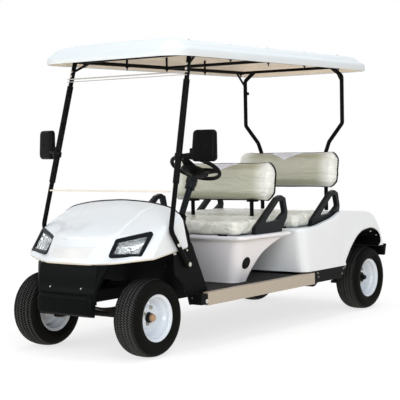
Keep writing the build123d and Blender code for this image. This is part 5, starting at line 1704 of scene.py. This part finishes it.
# Two copies of one cream vinyl: the cushions' far lighter base stands for the light on their tops, the backrests'
# darker one for their shade.
cushion_vinyl_lit_copy = vinyl("cream_cushion_vinyl_lit_copy", (0.66, 0.675, 0.60), 1.0, (0.8, 1.3, 1.6), 0.9, 5.0, 0.8, 0.25)
backrest_vinyl_shaded_copy = vinyl("cream_backrest_vinyl_shaded_copy", CREAM, 1.0, (1.0, 1.0, 2.4), 0.30, 4.0, 0.0, 0.80)
# Pale lilac colour for the film's V fold on top of each backrest: a painted reflection.
film_fold_painted_reflection = finish("pale_film_fold_painted_reflection", (0.66, 0.67, 0.76), 0.3, 0.12, patch=30, grain=0.6,
                     grain_scale=60, coat=0.8)
SEATS = (  # name, cushion's stations and foot, backrest's station and height, seed
    ("front", (800, 1310), 662.5, (1305, 997), 3.0),
    ("rear", (1500, 1985), 668.5, (2152, 1058), 9.0),
)
FILM_FOLD_HALF = 0.128


def film_fold_sheet(name, piece, home):
    """Small pointed sheet over the middle of a backrest's top edge, where the film folds in a V; its pale lilac
    colour is a painted reflection.
    """
    rows = []
    for j in range(15):
        t = j / 14
        row = []
        for k in range(25):
            u = -1 + 2 * k / 24
            if t < 0.45:
                start, way = (FILM_FOLD_HALF * u, 0.030 - 0.058 * t / 0.45, 0.25), (0, 0, -1)
            else:
                down = (t - 0.45) / 0.55
                start = (FILM_FOLD_HALF * u * (1 - down) ** 0.8, -0.25, 0.115 - 0.052 * down * (1 - 0.25 * abs(u)))
                way = (0, 1, 0)
            _, spot, normal, _ = piece.ray_cast(home @ Vector(start), home.to_3x3() @ Vector(way))
            row.append(spot + normal * (0.0016 + 0.001 * noise.noise(spot * 60)))
        rows.append(row)
    return walled(facing(skin(name, rows), (0, -1, 0.6)), 0.0012, 0.0)


for name, (front, rear), seat_z, (station, z), seed in SEATS:
    cushion, back = name + "_cushion", name + "_backrest"
    home = Matrix.Translation(at(0, (front + rear) / 2, seat_z + 50))
    pad = puffed(name + "_bench_cushion", cushion, home, (0.506, (rear - front) / 2000, 0.050), 0.010)
    pleated(pad, 0.0065, (4.0, 6, 8), seed, home)
    for corner in pad.data.vertices:
        corner.co.z = max(corner.co.z, seat_z / 1000)
    settle(pad, cushion_vinyl_lit_copy, name + "_seat", "ivory_vinyl", cushion, smooth=60)
    home = Matrix.Translation(at(0, station + 41, z)) @ Matrix.Rotation(-BACK_LEAN, 4, "X")
    rest = puffed(name + "_bench_backrest", back, home, (0.438, 0.043, 0.134), 0.012, 0.090)
    pleated(rest, 0.0030, (3.0, 9, 16), seed + 4, home, (0.24, 0.42))
    pleated(rest, 0.0032, (2.0, 5, 52), seed + 6, home, (0.31, 0.43))
    settle(rest, backrest_vinyl_shaded_copy, "cart", "ivory_vinyl", back, smooth=60)
    rim = rim_of(rest, home, 0.019)
    piping = bead(name + "_backrest_piping", rim + rim[:2], PIPING_R / 1000, 10)
    settle(piping, trim_rubber, "cart", "black_plastic", smooth=60)
    settle(film_fold_sheet(name + "_backrest_film_fold", rest, home), film_fold_painted_reflection, "cart", "ivory_vinyl", smooth=60)
